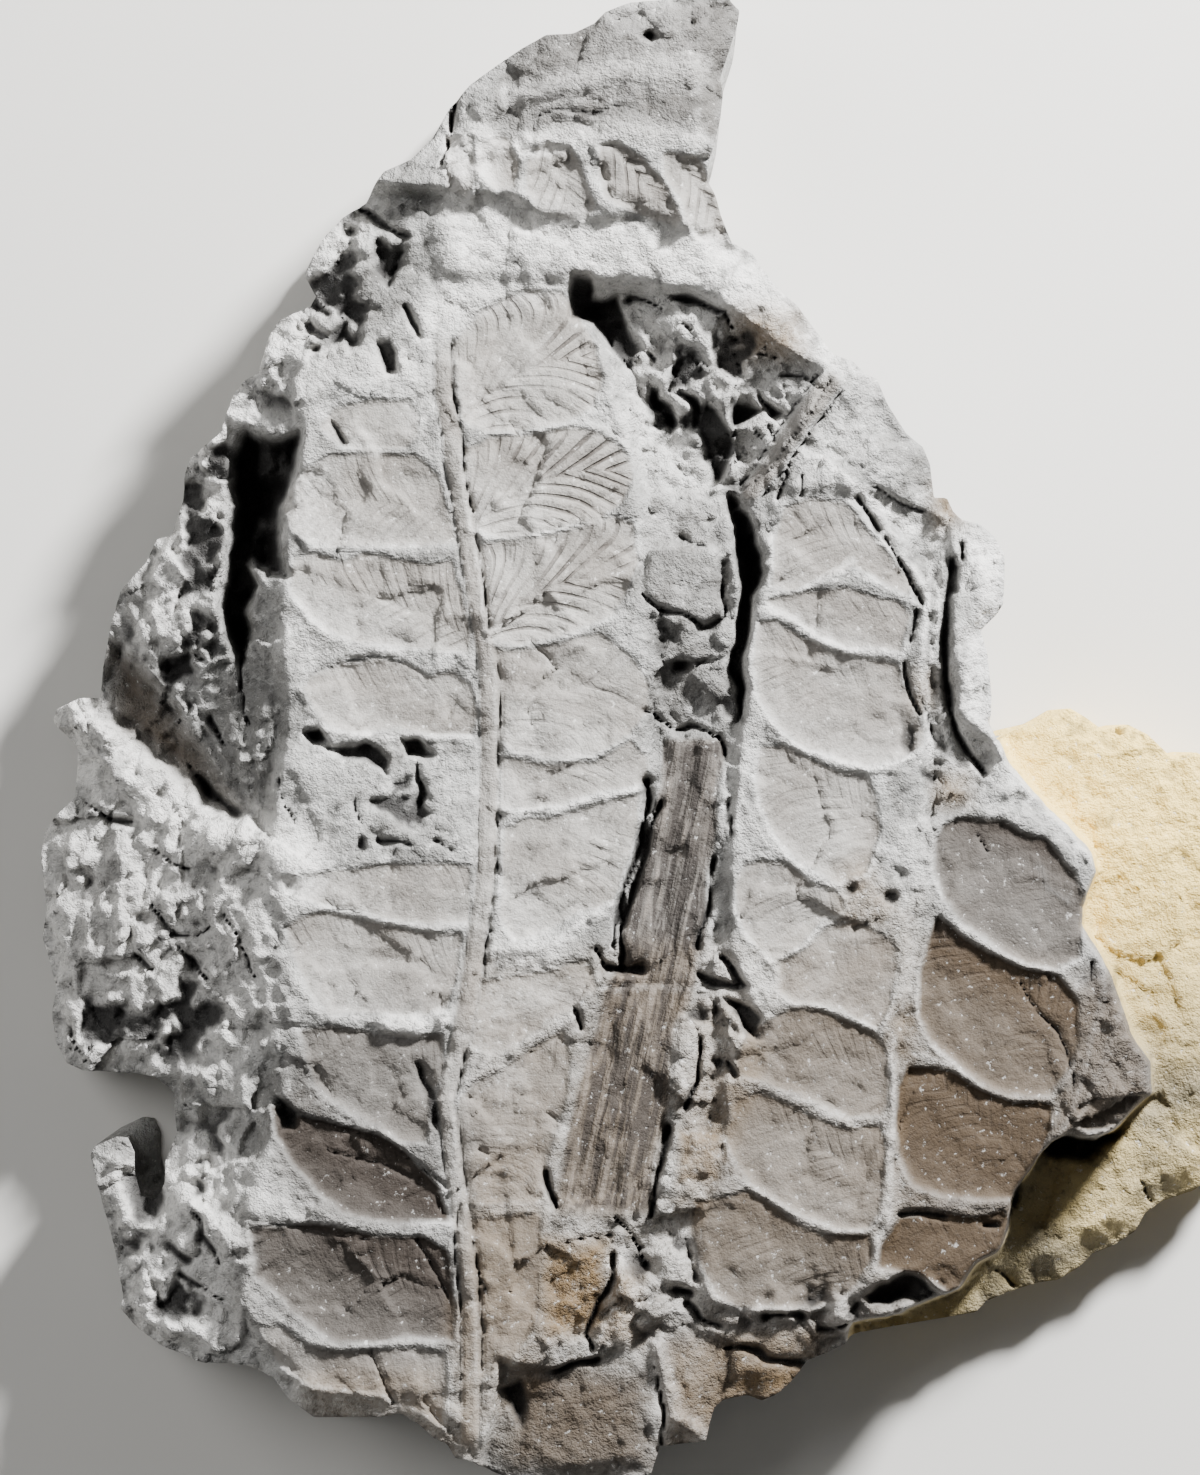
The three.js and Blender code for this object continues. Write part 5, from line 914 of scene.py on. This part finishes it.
TAN_AREAS = [
    (0.22, [(-14, -15), (18, -13), (34, -18), (35, -26), (24, -41), (0, -53), (-14, -51)]),
    (0.42, [(-14, -29), (-8, -27), (-8, -46), (-14, -50)]),
    (0.45, [(1.6, -18), (6, -17), (8, -22), (5, -30), (3, -35), (0, -34), (1, -27)]),
    (0.35, [(15.8, -12), (18.4, -11), (18, -24), (17, -37), (15, -36), (16.4, -24)]),
    (0.5, [(0, -42.6), (14, -41), (10, -47), (0, -51)]),
    (0.25, PIT_FLOOR),
    (0.05, [(18, -18), (25, -24), (30, -25), (27, -33), (22, -39), (15, -40), (16.6, -26)]),
    (0.18, [(5, -21), (16, -24), (16, -41), (3, -41), (2, -30)]),
    (0.45, [(-26, -45), (-16, -44.6), (-14, -52), (-26, -49)]),
    (0.9, [(-8.7, -35.4), (-3.8, -35), (-3.6, -41.8), (-8.7, -43)]),
    (0.8, [(-4.8, -37), (-1.6, -37), (-1.6, -43), (-4.8, -43)]),
    (0.8, [(5, -44.4), (10.4, -44.2), (9, -47), (4.4, -47)]),
    (0.8, [(19.4, 15.4), (21, 15.6), (20.8, 18), (19.4, 18)]),
    (0.6, [(18.1, 3), (19.1, 3), (19.1, 5.2), (18.1, 5.2)]),
    (0.7, [(19.6, -2.2), (21.6, -2.2), (21.6, -4), (19.6, -4)]),
    (0.5, [(15.6, -18), (18.6, -18), (18, -24), (15.8, -22)]),
    (0.55, [(12.4, -9), (14.4, -8), (17.2, -12), (16, -13.4), (12.4, -13)]),
    (0.35, [(7.4, -14.6), (11, -14.6), (11, -18.4), (7.4, -18.4)]),
    (0.7, [(5, 27.4), (10, 27.6), (10, 31), (5, 31)]),
    (0.35, [(0, -17.6), (2.6, -17.6), (2.6, -27), (0.2, -27)]),
    (0.3, [(-13, -32), (-8.8, -30), (-8.8, -44), (-13, -46)]),
    (0.4, [(2, -27), (5, -26), (5, -31), (1, -32)]),
    (0.5, [(-14.8, -40), (-12.8, -40), (-13, -52), (-15.6, -50)]),
]
# Pale areas: partly fresh white stone, as on the upper band, and partly painted highlight, as on the left
# slope that turns from the lamp and on the rims that face it.
PALE_AND_HIGHLIGHT_AREAS = [
    (0.45, [(-6, 33), (5, 33), (11, 28), (8, 20), (3, 18), (-2, 20), (-4, 27)]),
    (0.9, [(-45, -4), (-34, -8), (-28, -10), (-28, -20), (-31, -24), (-45, -22)]),
    (0.85, [(-40, 5), (-36, 14), (-32, 22), (-26, 33), (-24, 38), (-20, 40), (-24, 30), (-31, 20), (-33, 8)]),
    (0.95, [(-40, -30), (-37, -30), (-31, -25), (-30, -34), (-29, -43), (-38, -43)]),
    (0.9, [(-18, 30), (-16, 33.4), (-7, 33.2), (-8, 31.8), (-12, 31.6), (-15, 29.6), (-17, 27)]),
    (0.95, [(-16, 33.6), (-7, 33), (0, 32.4), (5, 31), (9, 32), (4.8, 35.8), (-4, 37.2), (-15, 39)]),
    (0.9, [
        (4.6, 35.8), (7.4, 33.4), (10.3, 30.2), (13.5, 27.3), (15.2, 26.1), (12, 26.6), (9, 29.4),
        (5.4, 31)]),
    (0.8, [
        (20.4, 15.4), (24.6, 14), (24.6, 9), (23.4, 0), (27.6, -4.6), (30.6, -8), (25, -3), (21.4, 0.8),
        (20.6, 6), (22, 10)]),
    (0.7, [(5, 9.6), (6.4, 9.2), (6.4, 4), (6.6, 0), (6.4, -6), (5, -9), (4.6, -4), (5.2, 1)]),
    (0.8, [(-16, 44.6), (-12, 44.6), (-12, 39.6), (-16, 39.6)]),
    (0.6, [
        (-28, 14), (-24.6, 15), (-23.6, 20.4), (-26.2, 21), (-24, 26), (-19, 26), (-17.2, 21), (-16, 29),
        (-27, 29)]),
    (0.7, [(-28, 8), (-26.6, 10), (-23.6, 7.6), (-20, 6.6), (-26, 5.2), (-28, 6)]),
    (0.8, [
        (-44, 3.4), (-40, 3), (-33, -5), (-28, -7.6), (-24.6, -6.6), (-27, -10.4), (-35, -8.6), (-42, -2)]),
    (0.9, [(-20, -19.6), (-17.8, -19.4), (-17.8, -20.8), (-20, -20.9)]),
    (0.8, [(-16.2, -19.2), (-15.4, -19.2), (-15.4, -20.6), (-16.2, -20.6)]),
    (0.9, [(-12, -13.6), (-8.4, -14), (-8.4, -15.8), (-11.6, -15.8)]),
    (0.8, [(-14, -21), (-11, -21.4), (-10.6, -24), (-13.8, -24)]),
    (0.6, [(-12.6, -17.4), (-6, -17.4), (-6, -18.6), (-12.6, -20.4)]),
    (0.6, [(-18, -32.6), (-15.8, -32.6), (-15.6, -34.6), (-18, -34.6)]),
    (0.6, [(-29.6, -30), (-27.4, -29.6), (-24.6, -33), (-19, -34.6), (-27, -34.2), (-30, -33)]),
    (0.5, [(-31, -34.6), (-29.4, -37), (-27, -41), (-31, -42), (-33, -38)]),
    (0.6, [(17, -6), (19.2, -6), (18.8, -13), (17.4, -18), (16.8, -12)]),
    (0.5, [(5.6, -15), (8, -15.6), (8, -19), (5, -21), (3.4, -24.6), (4.6, -24), (5, -18)]),
    (0.6, [(-0.8, -35), (1.8, -35), (1.8, -39), (-0.8, -39)]),
    (0.5, [(-26, -48.4), (-18, -48.4), (-18, -46.6), (-26, -46)]),
]


def stain_face(face):
    for layer, areas in ((face.brown, BROWN_AREAS), (face.tan, TAN_AREAS), (face.pale, PALE_AND_HIGHLIGHT_AREAS)):
        for strength, points in areas:
            face.stain(layer, points, strength, STAIN_EDGE)


# The highest bed: what stands above it is flattened into the last TOP_SPREAD
TOP_BED = 15.7
TOP_SPREAD = 0.8


def upper_face(x, y):
    """The whole upper face, in the order in which the stone formed, split, broke and was stained."""
    face = UpperFace(x, y)
    lay_bedding(face)
    press_main_frond(face)
    press_stem(face)
    press_right_frond(face)
    break_face(face)
    stain_face(face)
    over = np.maximum(face.z - TOP_BED, 0)
    face.z += TOP_SPREAD * (1 - np.exp(-over / TOP_SPREAD)) - over
    return face


# Making the slab
# A fine sheet is trimmed to the broken outline and takes the upper face's heights. Its rim is drawn down
# ring by ring into the layered sides, and the flat bed that it lies on closes it.
SHEET_STEP = 0.22
SHEET_SIZE = (90.6, 107.2)
SIDE_RINGS = 26
SIDE_LAYER_DEPTH = 0.9
# Below this height the sides draw in towards the underside, by this share of their distance from the middle
UNDERCUT_HEIGHT = 2.8
UNDERCUT = 0.04
TRIANGLES = 190000
# A place on the very edge has no direction further in, so it is asked for from slightly nearer the middle
JUST_INSIDE = 0.9999


def inward(x, y):
    """How far inside the outline each place is, and the two parts of the direction further in."""
    step = 0.03
    across = inside_distance(OUTLINE, x + step, y) - inside_distance(OUTLINE, x - step, y)
    upward = inside_distance(OUTLINE, x, y + step) - inside_distance(OUTLINE, x, y - step)
    steepness = np.maximum(np.hypot(across, upward), 1e-6)
    return inside_distance(OUTLINE, x, y), across / steepness, upward / steepness


def corners_of(mesh):
    """The places of a mesh's corners, as rows of three numbers."""
    places = np.empty(len(mesh.vertices) * 3)
    mesh.vertices.foreach_get("co", places)
    return places.reshape(-1, 3)


def object_from(build, name):
    mesh = bpy.data.meshes.new(name)
    build.to_mesh(mesh)
    build.free()
    made = bpy.data.objects.new(name, mesh)
    bpy.context.collection.objects.link(made)
    return made


def trimmed_sheet():
    """A fine flat grid of squares that covers the outline, with no two parts joined by one corner alone."""
    sheet = bmesh.new()
    across, up = (round(side / SHEET_STEP) for side in SHEET_SIZE)
    bmesh.ops.create_grid(sheet, x_segments=across, y_segments=up, size=0.5)
    bmesh.ops.scale(sheet, vec=(SHEET_SIZE[0], SHEET_SIZE[1], 1), verts=sheet.verts)
    middles = np.array([square.calc_center_median()[:2] for square in sheet.faces])
    outside = inside_distance(OUTLINE, middles[:, 0], middles[:, 1]) < 0
    wasted = [square for square, away in zip(sheet.faces, outside) if away]
    while wasted:
        bmesh.ops.delete(sheet, geom=wasted, context="FACES")
        rim = {corner for edge in sheet.edges if edge.is_boundary for corner in edge.verts}
        pinches = [corner for corner in rim if sum(edge.is_boundary for edge in corner.link_edges) > 2]
        wasted = list({square for corner in pinches for square in corner.link_faces})
    return sheet


def close_below(sheet):
    """Draws the rim down, ring by ring; until the heights are set, a ring's number is its depth."""
    rim = [edge for edge in sheet.edges if edge.is_boundary]
    for _ in range(SIDE_RINGS):
        drawn = bmesh.ops.extrude_edge_only(sheet, edges=rim)["geom"]
        lower = [item for item in drawn if isinstance(item, bmesh.types.BMVert)]
        bmesh.ops.translate(sheet, vec=(0, 0, -1), verts=lower)
        rim = [item for item in drawn if isinstance(item, bmesh.types.BMEdge) and item.is_boundary]
    bmesh.ops.contextual_create(sheet, geom=rim)
    bmesh.ops.recalc_face_normals(sheet, faces=sheet.faces)


build = trimmed_sheet()
rim = list({corner for edge in build.edges if edge.is_boundary for corner in edge.verts})
rim_places = np.array([corner.co[:2] for corner in rim])
depth_in, inward_x, inward_y = inward(rim_places[:, 0], rim_places[:, 1])
for corner, depth, toward_x, toward_y in zip(rim, depth_in, inward_x, inward_y):
    corner.co.x -= depth * toward_x
    corner.co.y -= depth * toward_y
close_below(build)
slab = object_from(build, "slab_of_stone")

places = corners_of(slab.data)
x, y, z = places.T.copy()
level = np.clip(-z, 0, SIDE_RINGS) / SIDE_RINGS
z = upper_face(x, y).z * (1 - level)
on_side = level > 0
inset_x, inset_y = np.zeros_like(x), np.zeros_like(x)
_, inset_x[on_side], inset_y[on_side] = inward(x[on_side] * JUST_INSIDE, y[on_side] * JUST_INSIDE)
layered = 0.5 + 0.35 * lumps(0.12 * (x + y), z, 1.9, 301) + 0.15 * lumps(x - y, z * 2, 2.4, 311)
inset = SIDE_LAYER_DEPTH * layered * smoothstep(level, 0.02, 0.15) * smoothstep(z, UNDERCUT_HEIGHT, 4.5)
narrowed = 1 - smoothstep(-z, -UNDERCUT_HEIGHT, 0) * (UNDERCUT + 0.008 * lumps(x, y, 6, 321))
places[:, 0] = x * narrowed + inset * inset_x
places[:, 1] = y * narrowed + inset * inset_y
places[:, 2] = z
slab.data.vertices.foreach_set("co", places.ravel())
slab.data.calc_loop_triangles()
thin = slab.modifiers.new("thin", "DECIMATE")
thin.ratio = min(1, TRIANGLES / len(slab.data.loop_triangles))
thinned = bpy.data.meshes.new_from_object(slab.evaluated_get(bpy.context.evaluated_depsgraph_get()))
slab.modifiers.clear()
slab.data = thinned
places = corners_of(thinned)
face = upper_face(places[:, 0].copy(), places[:, 1].copy())
on_top = 1 - smoothstep(face.z - places[:, 2], 0.25, 0.9)
marks = {name: getattr(face, name) for name in ("iron", "rough", "vein_phase", "vein_fork")}
for name in ("film", "brown", "tan", "dirt", "pale", "striated", "vein_strength"):
    marks[name] = getattr(face, name) * on_top
for name, values in marks.items():
    thinned.attributes.new(name, "FLOAT", "POINT").data.foreach_set("value", values.astype(np.float32))
thinned.transform(Matrix.Scale(MM, 4))
for polygon in thinned.polygons:
    polygon.use_smooth = True

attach(slab, "root")
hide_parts("fossil_slab")


# Stone colours
# Pale cool grey where the stone is fresh, a browner grey where the plant film lies, dark brown on the
# stem, ochre on the lower layer, and black in the cracks and pits, partly dirt and mostly painted shade.
# Painted highlights lie along the ridges, crests and rims.
class Shade:
    """A socket of a node tree, used in Python expressions."""

    tree = None

    def __init__(self, socket):
        self.socket = socket

    @classmethod
    def node(cls, kind, settings, values, output=0):
        made = cls.tree.nodes.new(kind)
        for name, value in settings.items():
            setattr(made, name, value)
        for name, value in values.items():
            if isinstance(value, cls):
                cls.tree.links.new(value.socket, made.inputs[name])
            else:
                made.inputs[name].default_value = value
        return cls(made.outputs[output])

    def math(self, operation, *others):
        return self.node("ShaderNodeMath", {"operation": operation}, dict(enumerate((self, *others))))

    def __add__(self, other):
        return self.math("ADD", other)

    __radd__ = __add__

    def __mul__(self, other):
        return self.math("MULTIPLY", other)

    __rmul__ = __mul__

    def __sub__(self, other):
        return self.math("SUBTRACT", other)

    def __rsub__(self, other):
        return self.node("ShaderNodeMath", {"operation": "SUBTRACT"}, {0: other, 1: self})

    def between(self, low, high, start=0.0, end=1.0):
        values = {"Value": self, "From Min": low, "From Max": high, "To Min": start, "To Max": end}
        return self.node("ShaderNodeMapRange", {"interpolation_type": "SMOOTHSTEP"}, values)

    def into(self, other, share):
        return self.node("ShaderNodeMix", {"data_type": "RGBA"}, {0: share, 6: self, 7: other}, 2)


def linear(hex_colour):
    parts = [int(hex_colour[i:i + 2], 16) / 255 for i in (0, 2, 4)]
    return (*[part / 12.92 if part <= 0.04045 else ((part + 0.055) / 1.055) ** 2.4 for part in parts], 1.0)


GREY_STONE = linear("7f7e7b")
LIGHT_STONE = linear("b0afac")
HOLLOW_PAINTED_SHADE = linear("605e5a")
CREST_PAINTED_HIGHLIGHT = linear("d8d7d4")
DARK_FILM = linear("8b857e")
LIGHT_FILM = linear("9c9892")
WHITE_CRUST_AND_HIGHLIGHT = linear("e4e2de")
CARBON_BROWN = linear("2f2720")
RUST = linear("674e25")
DULL_OCHRE = linear("827962")
LIGHT_OCHRE = linear("b8a573")
YELLOW_OCHRE = linear("f0d27e")
VEIN_BROWN = linear("3a322c")
DARK_FIBRE = linear("241e1a")
LIGHT_FIBRE = linear("8f857b")
DARK_GRAIN = linear("2e2823")
LIGHT_GRAIN = linear("f4f2ee")
PAINTED_SHADE_AND_DIRT_BLACK = linear("100d0b")
STONE_ROUGHNESS = 0.82
# The heights, in millimetres up the picture, between which the ochre layer turns from dull to yellow
OCHRE_TURN = (-25, -6)
STEM_TURN = math.radians(-12)
FIBRE_SPAN = 0.5
FIBRE_STRETCH = 14

stone = bpy.data.materials.new("slab_stone")
stone.use_nodes = True
Shade.tree = stone.node_tree
shader = Shade.tree.nodes["Principled BSDF"]
place = Shade.node("ShaderNodeTexCoord", {}, {}, "Object")


def marked(name):
    return Shade.node("ShaderNodeAttribute", {"attribute_name": name}, {}, "Fac")


def speckle(size_mm, detail=2.0, roughness=0.55):
    values = {"Vector": place, "Scale": 1 / (size_mm * MM), "Detail": detail, "Roughness": roughness}
    return Shade.node("ShaderNodeTexNoise", {}, values, 0)


def blend(share, first, second):
    return Shade.node("ShaderNodeMix", {"data_type": "RGBA"}, {0: share, 6: first, 7: second}, 2)


film, brown, iron, tan, dirt = (marked(name) for name in ("film", "brown", "iron", "tan", "dirt"))
pale, rough, striated = (marked(name) for name in ("pale", "rough", "striated"))
blotches = speckle(7, 5)
grains = speckle(0.5, 3, 0.7)
fine = speckle(0.16, 2, 0.6)
lumpy = speckle(1.6, 4, 0.6)

# Veins: thin dark furrows, forked near the pinnule's margin
phase = marked("vein_phase")
single = phase.math("COSINE").between(0.35, 1.0)
double = (phase * 2).math("COSINE").between(0.35, 1.0)
fork = marked("vein_fork")
veins = (single * (1 - fork) + double * fork * 0.7) * marked("vein_strength")
veins = veins * lumpy.between(0.3, 0.6, 0.5, 1.0)

# Striae: the stem's fibres, long and thin, turned to lie along it
along_stem = Shade.node(
    "ShaderNodeMapping", {"vector_type": "TEXTURE"},
    {"Vector": place, "Rotation": (0, 0, STEM_TURN), "Scale": (1, FIBRE_STRETCH, 1)})
fibre_values = {"Vector": along_stem, "Scale": 1 / (FIBRE_SPAN * MM), "Detail": 3.0}
fibres = Shade.node("ShaderNodeTexNoise", {}, fibre_values, 0)

# Colour: the stone with painted shade and highlight in its mottling, then what lies on it, then its grains
# and the dirt and painted shade in its cracks
tint = blend(blotches.between(0.35, 0.65), GREY_STONE, LIGHT_STONE)
# Mottling that follows the lumpy bump: darker in its hollows as painted shade, lighter on its crests as a
# painted highlight.
tint = tint.into(HOLLOW_PAINTED_SHADE, lumpy.between(0.5, 0.3) * 0.7)
tint = tint.into(CREST_PAINTED_HIGHLIGHT, lumpy.between(0.54, 0.7) * 0.5)
film_tint = blend(blotches.between(0.35, 0.65), DARK_FILM, LIGHT_FILM)
tint = tint.into(film_tint, film.between(0.1, 0.9) * 0.85)
# White crust and fresh stone, and painted highlight on the ridges, crests, rims and the lit lower parts of
# the dishes.
tint = tint.into(WHITE_CRUST_AND_HIGHLIGHT, pale * grains.between(0.65, 0.4, 0.6, 1.0) * 0.9)
tint = tint.into(CARBON_BROWN, brown)
tint = tint.into(RUST, tan * grains.between(0.3, 0.6, 0.75, 1.0))
upward = Shade.node("ShaderNodeSeparateXYZ", {}, {"Vector": place}, "Y")
ochre = blend(blotches.between(0.3, 0.7), DULL_OCHRE, LIGHT_OCHRE)
ochre = ochre.into(YELLOW_OCHRE, upward.between(OCHRE_TURN[0] * MM, OCHRE_TURN[1] * MM))
tint = tint.into(ochre, iron.between(0.4, 0.6))
tint = tint.into(VEIN_BROWN, veins * 0.5)
tint = tint.into(DARK_FIBRE, striated * fibres.between(0.56, 0.42) * 0.75)
tint = tint.into(LIGHT_FIBRE, striated * fibres.between(0.56, 0.68) * 0.3)
tint = tint.into(DARK_GRAIN, grains.between(0.58, 0.72) * 0.45)
tint = tint.into(LIGHT_GRAIN, grains.between(0.38, 0.29) * (0.5 - brown * 0.2))
# Near-black in cracks, pits and holes: dirt, and mostly painted shade.
tint = tint.into(PAINTED_SHADE_AND_DIRT_BLACK, dirt.between(0.1, 0.9) * 0.95)
Shade.tree.links.new(tint.socket, shader.inputs["Base Color"])
shader.inputs["Roughness"].default_value = STONE_ROUGHNESS

# Bump: only the finest grain, the veins' furrows and the fibres
height = (grains * 0.26 + fine * 0.1 + lumpy * 0.2) * rough.between(0, 0.8, 0.35, 1.4)
height = height - veins * 0.09 - striated * fibres.between(0.7, 0.3) * 0.12
bump = Shade.node("ShaderNodeBump", {}, {"Strength": 1.0, "Distance": MM, "Height": height})
Shade.tree.links.new(bump.socket, shader.inputs["Normal"])
slab.data.materials.clear()
slab.data.materials.append(stone)

# The setting
# A pale floor, and the camera straight above the slab, as the photograph was taken: it sees 85.7 by
# 105.4 mm. One soft lamp stands low at the upper right, so that the relief throws its shadows down left,
# and a wide faint one at the upper left fills them.
VIEW_MIDDLE = (-4.57, 0.46)
VIEW_HEIGHT = 105.36
CAMERA_DISTANCE = 800
SENSOR_SIZE = 36
FLOOR_COLOUR = linear("d9d7d2")
FLOOR_ROUGHNESS = 0.7
SKY_STRENGTH = 0.12
floor_build = bmesh.new()
bmesh.ops.create_grid(floor_build, x_segments=1, y_segments=1, size=1.0)
floor = object_from(floor_build, "floor")
floor_paint = bpy.data.materials.new("pale_floor")
floor_paint.use_nodes = True
floor_paint.node_tree.nodes["Principled BSDF"].inputs["Base Color"].default_value = FLOOR_COLOUR
floor_paint.node_tree.nodes["Principled BSDF"].inputs["Roughness"].default_value = FLOOR_ROUGHNESS
floor.data.materials.append(floor_paint)

camera = bpy.data.objects.new("camera", bpy.data.cameras.new("camera"))
camera.data.sensor_width = SENSOR_SIZE
camera.data.lens = SENSOR_SIZE * CAMERA_DISTANCE / VIEW_HEIGHT
camera.data.clip_end = 10
camera.location = (VIEW_MIDDLE[0] * MM, VIEW_MIDDLE[1] * MM, (BED_HEIGHT + CAMERA_DISTANCE) * MM)
bpy.context.collection.objects.link(camera)
bpy.context.scene.camera = camera


def lamp(name, azimuth, elevation, distance, size, power):
    """A round soft lamp that points at the slab, placed by two angles in degrees and a distance in metres."""
    made = bpy.data.objects.new(name, bpy.data.lights.new(name, "AREA"))
    made.data.shape = "DISK"
    made.data.size = size
    made.data.energy = power
    turn, lift = math.radians(azimuth), math.radians(elevation)
    made.location = (
        distance * math.cos(turn) * math.cos(lift),
        distance * math.sin(turn) * math.cos(lift),
        distance * math.sin(lift),
    )
    made.rotation_euler = (math.pi / 2 - lift, 0, turn + math.pi / 2)
    bpy.context.collection.objects.link(made)


lamp("key_lamp", azimuth=52, elevation=32, distance=0.38, size=0.06, power=7.3)
lamp("fill_lamp", azimuth=150, elevation=45, distance=1.2, size=0.8, power=7)
world = bpy.data.worlds.new("studio")
world.use_nodes = True
world.node_tree.nodes["Background"].inputs["Color"].default_value = (1, 1, 1, 1)
world.node_tree.nodes["Background"].inputs["Strength"].default_value = SKY_STRENGTH
bpy.context.scene.world = world
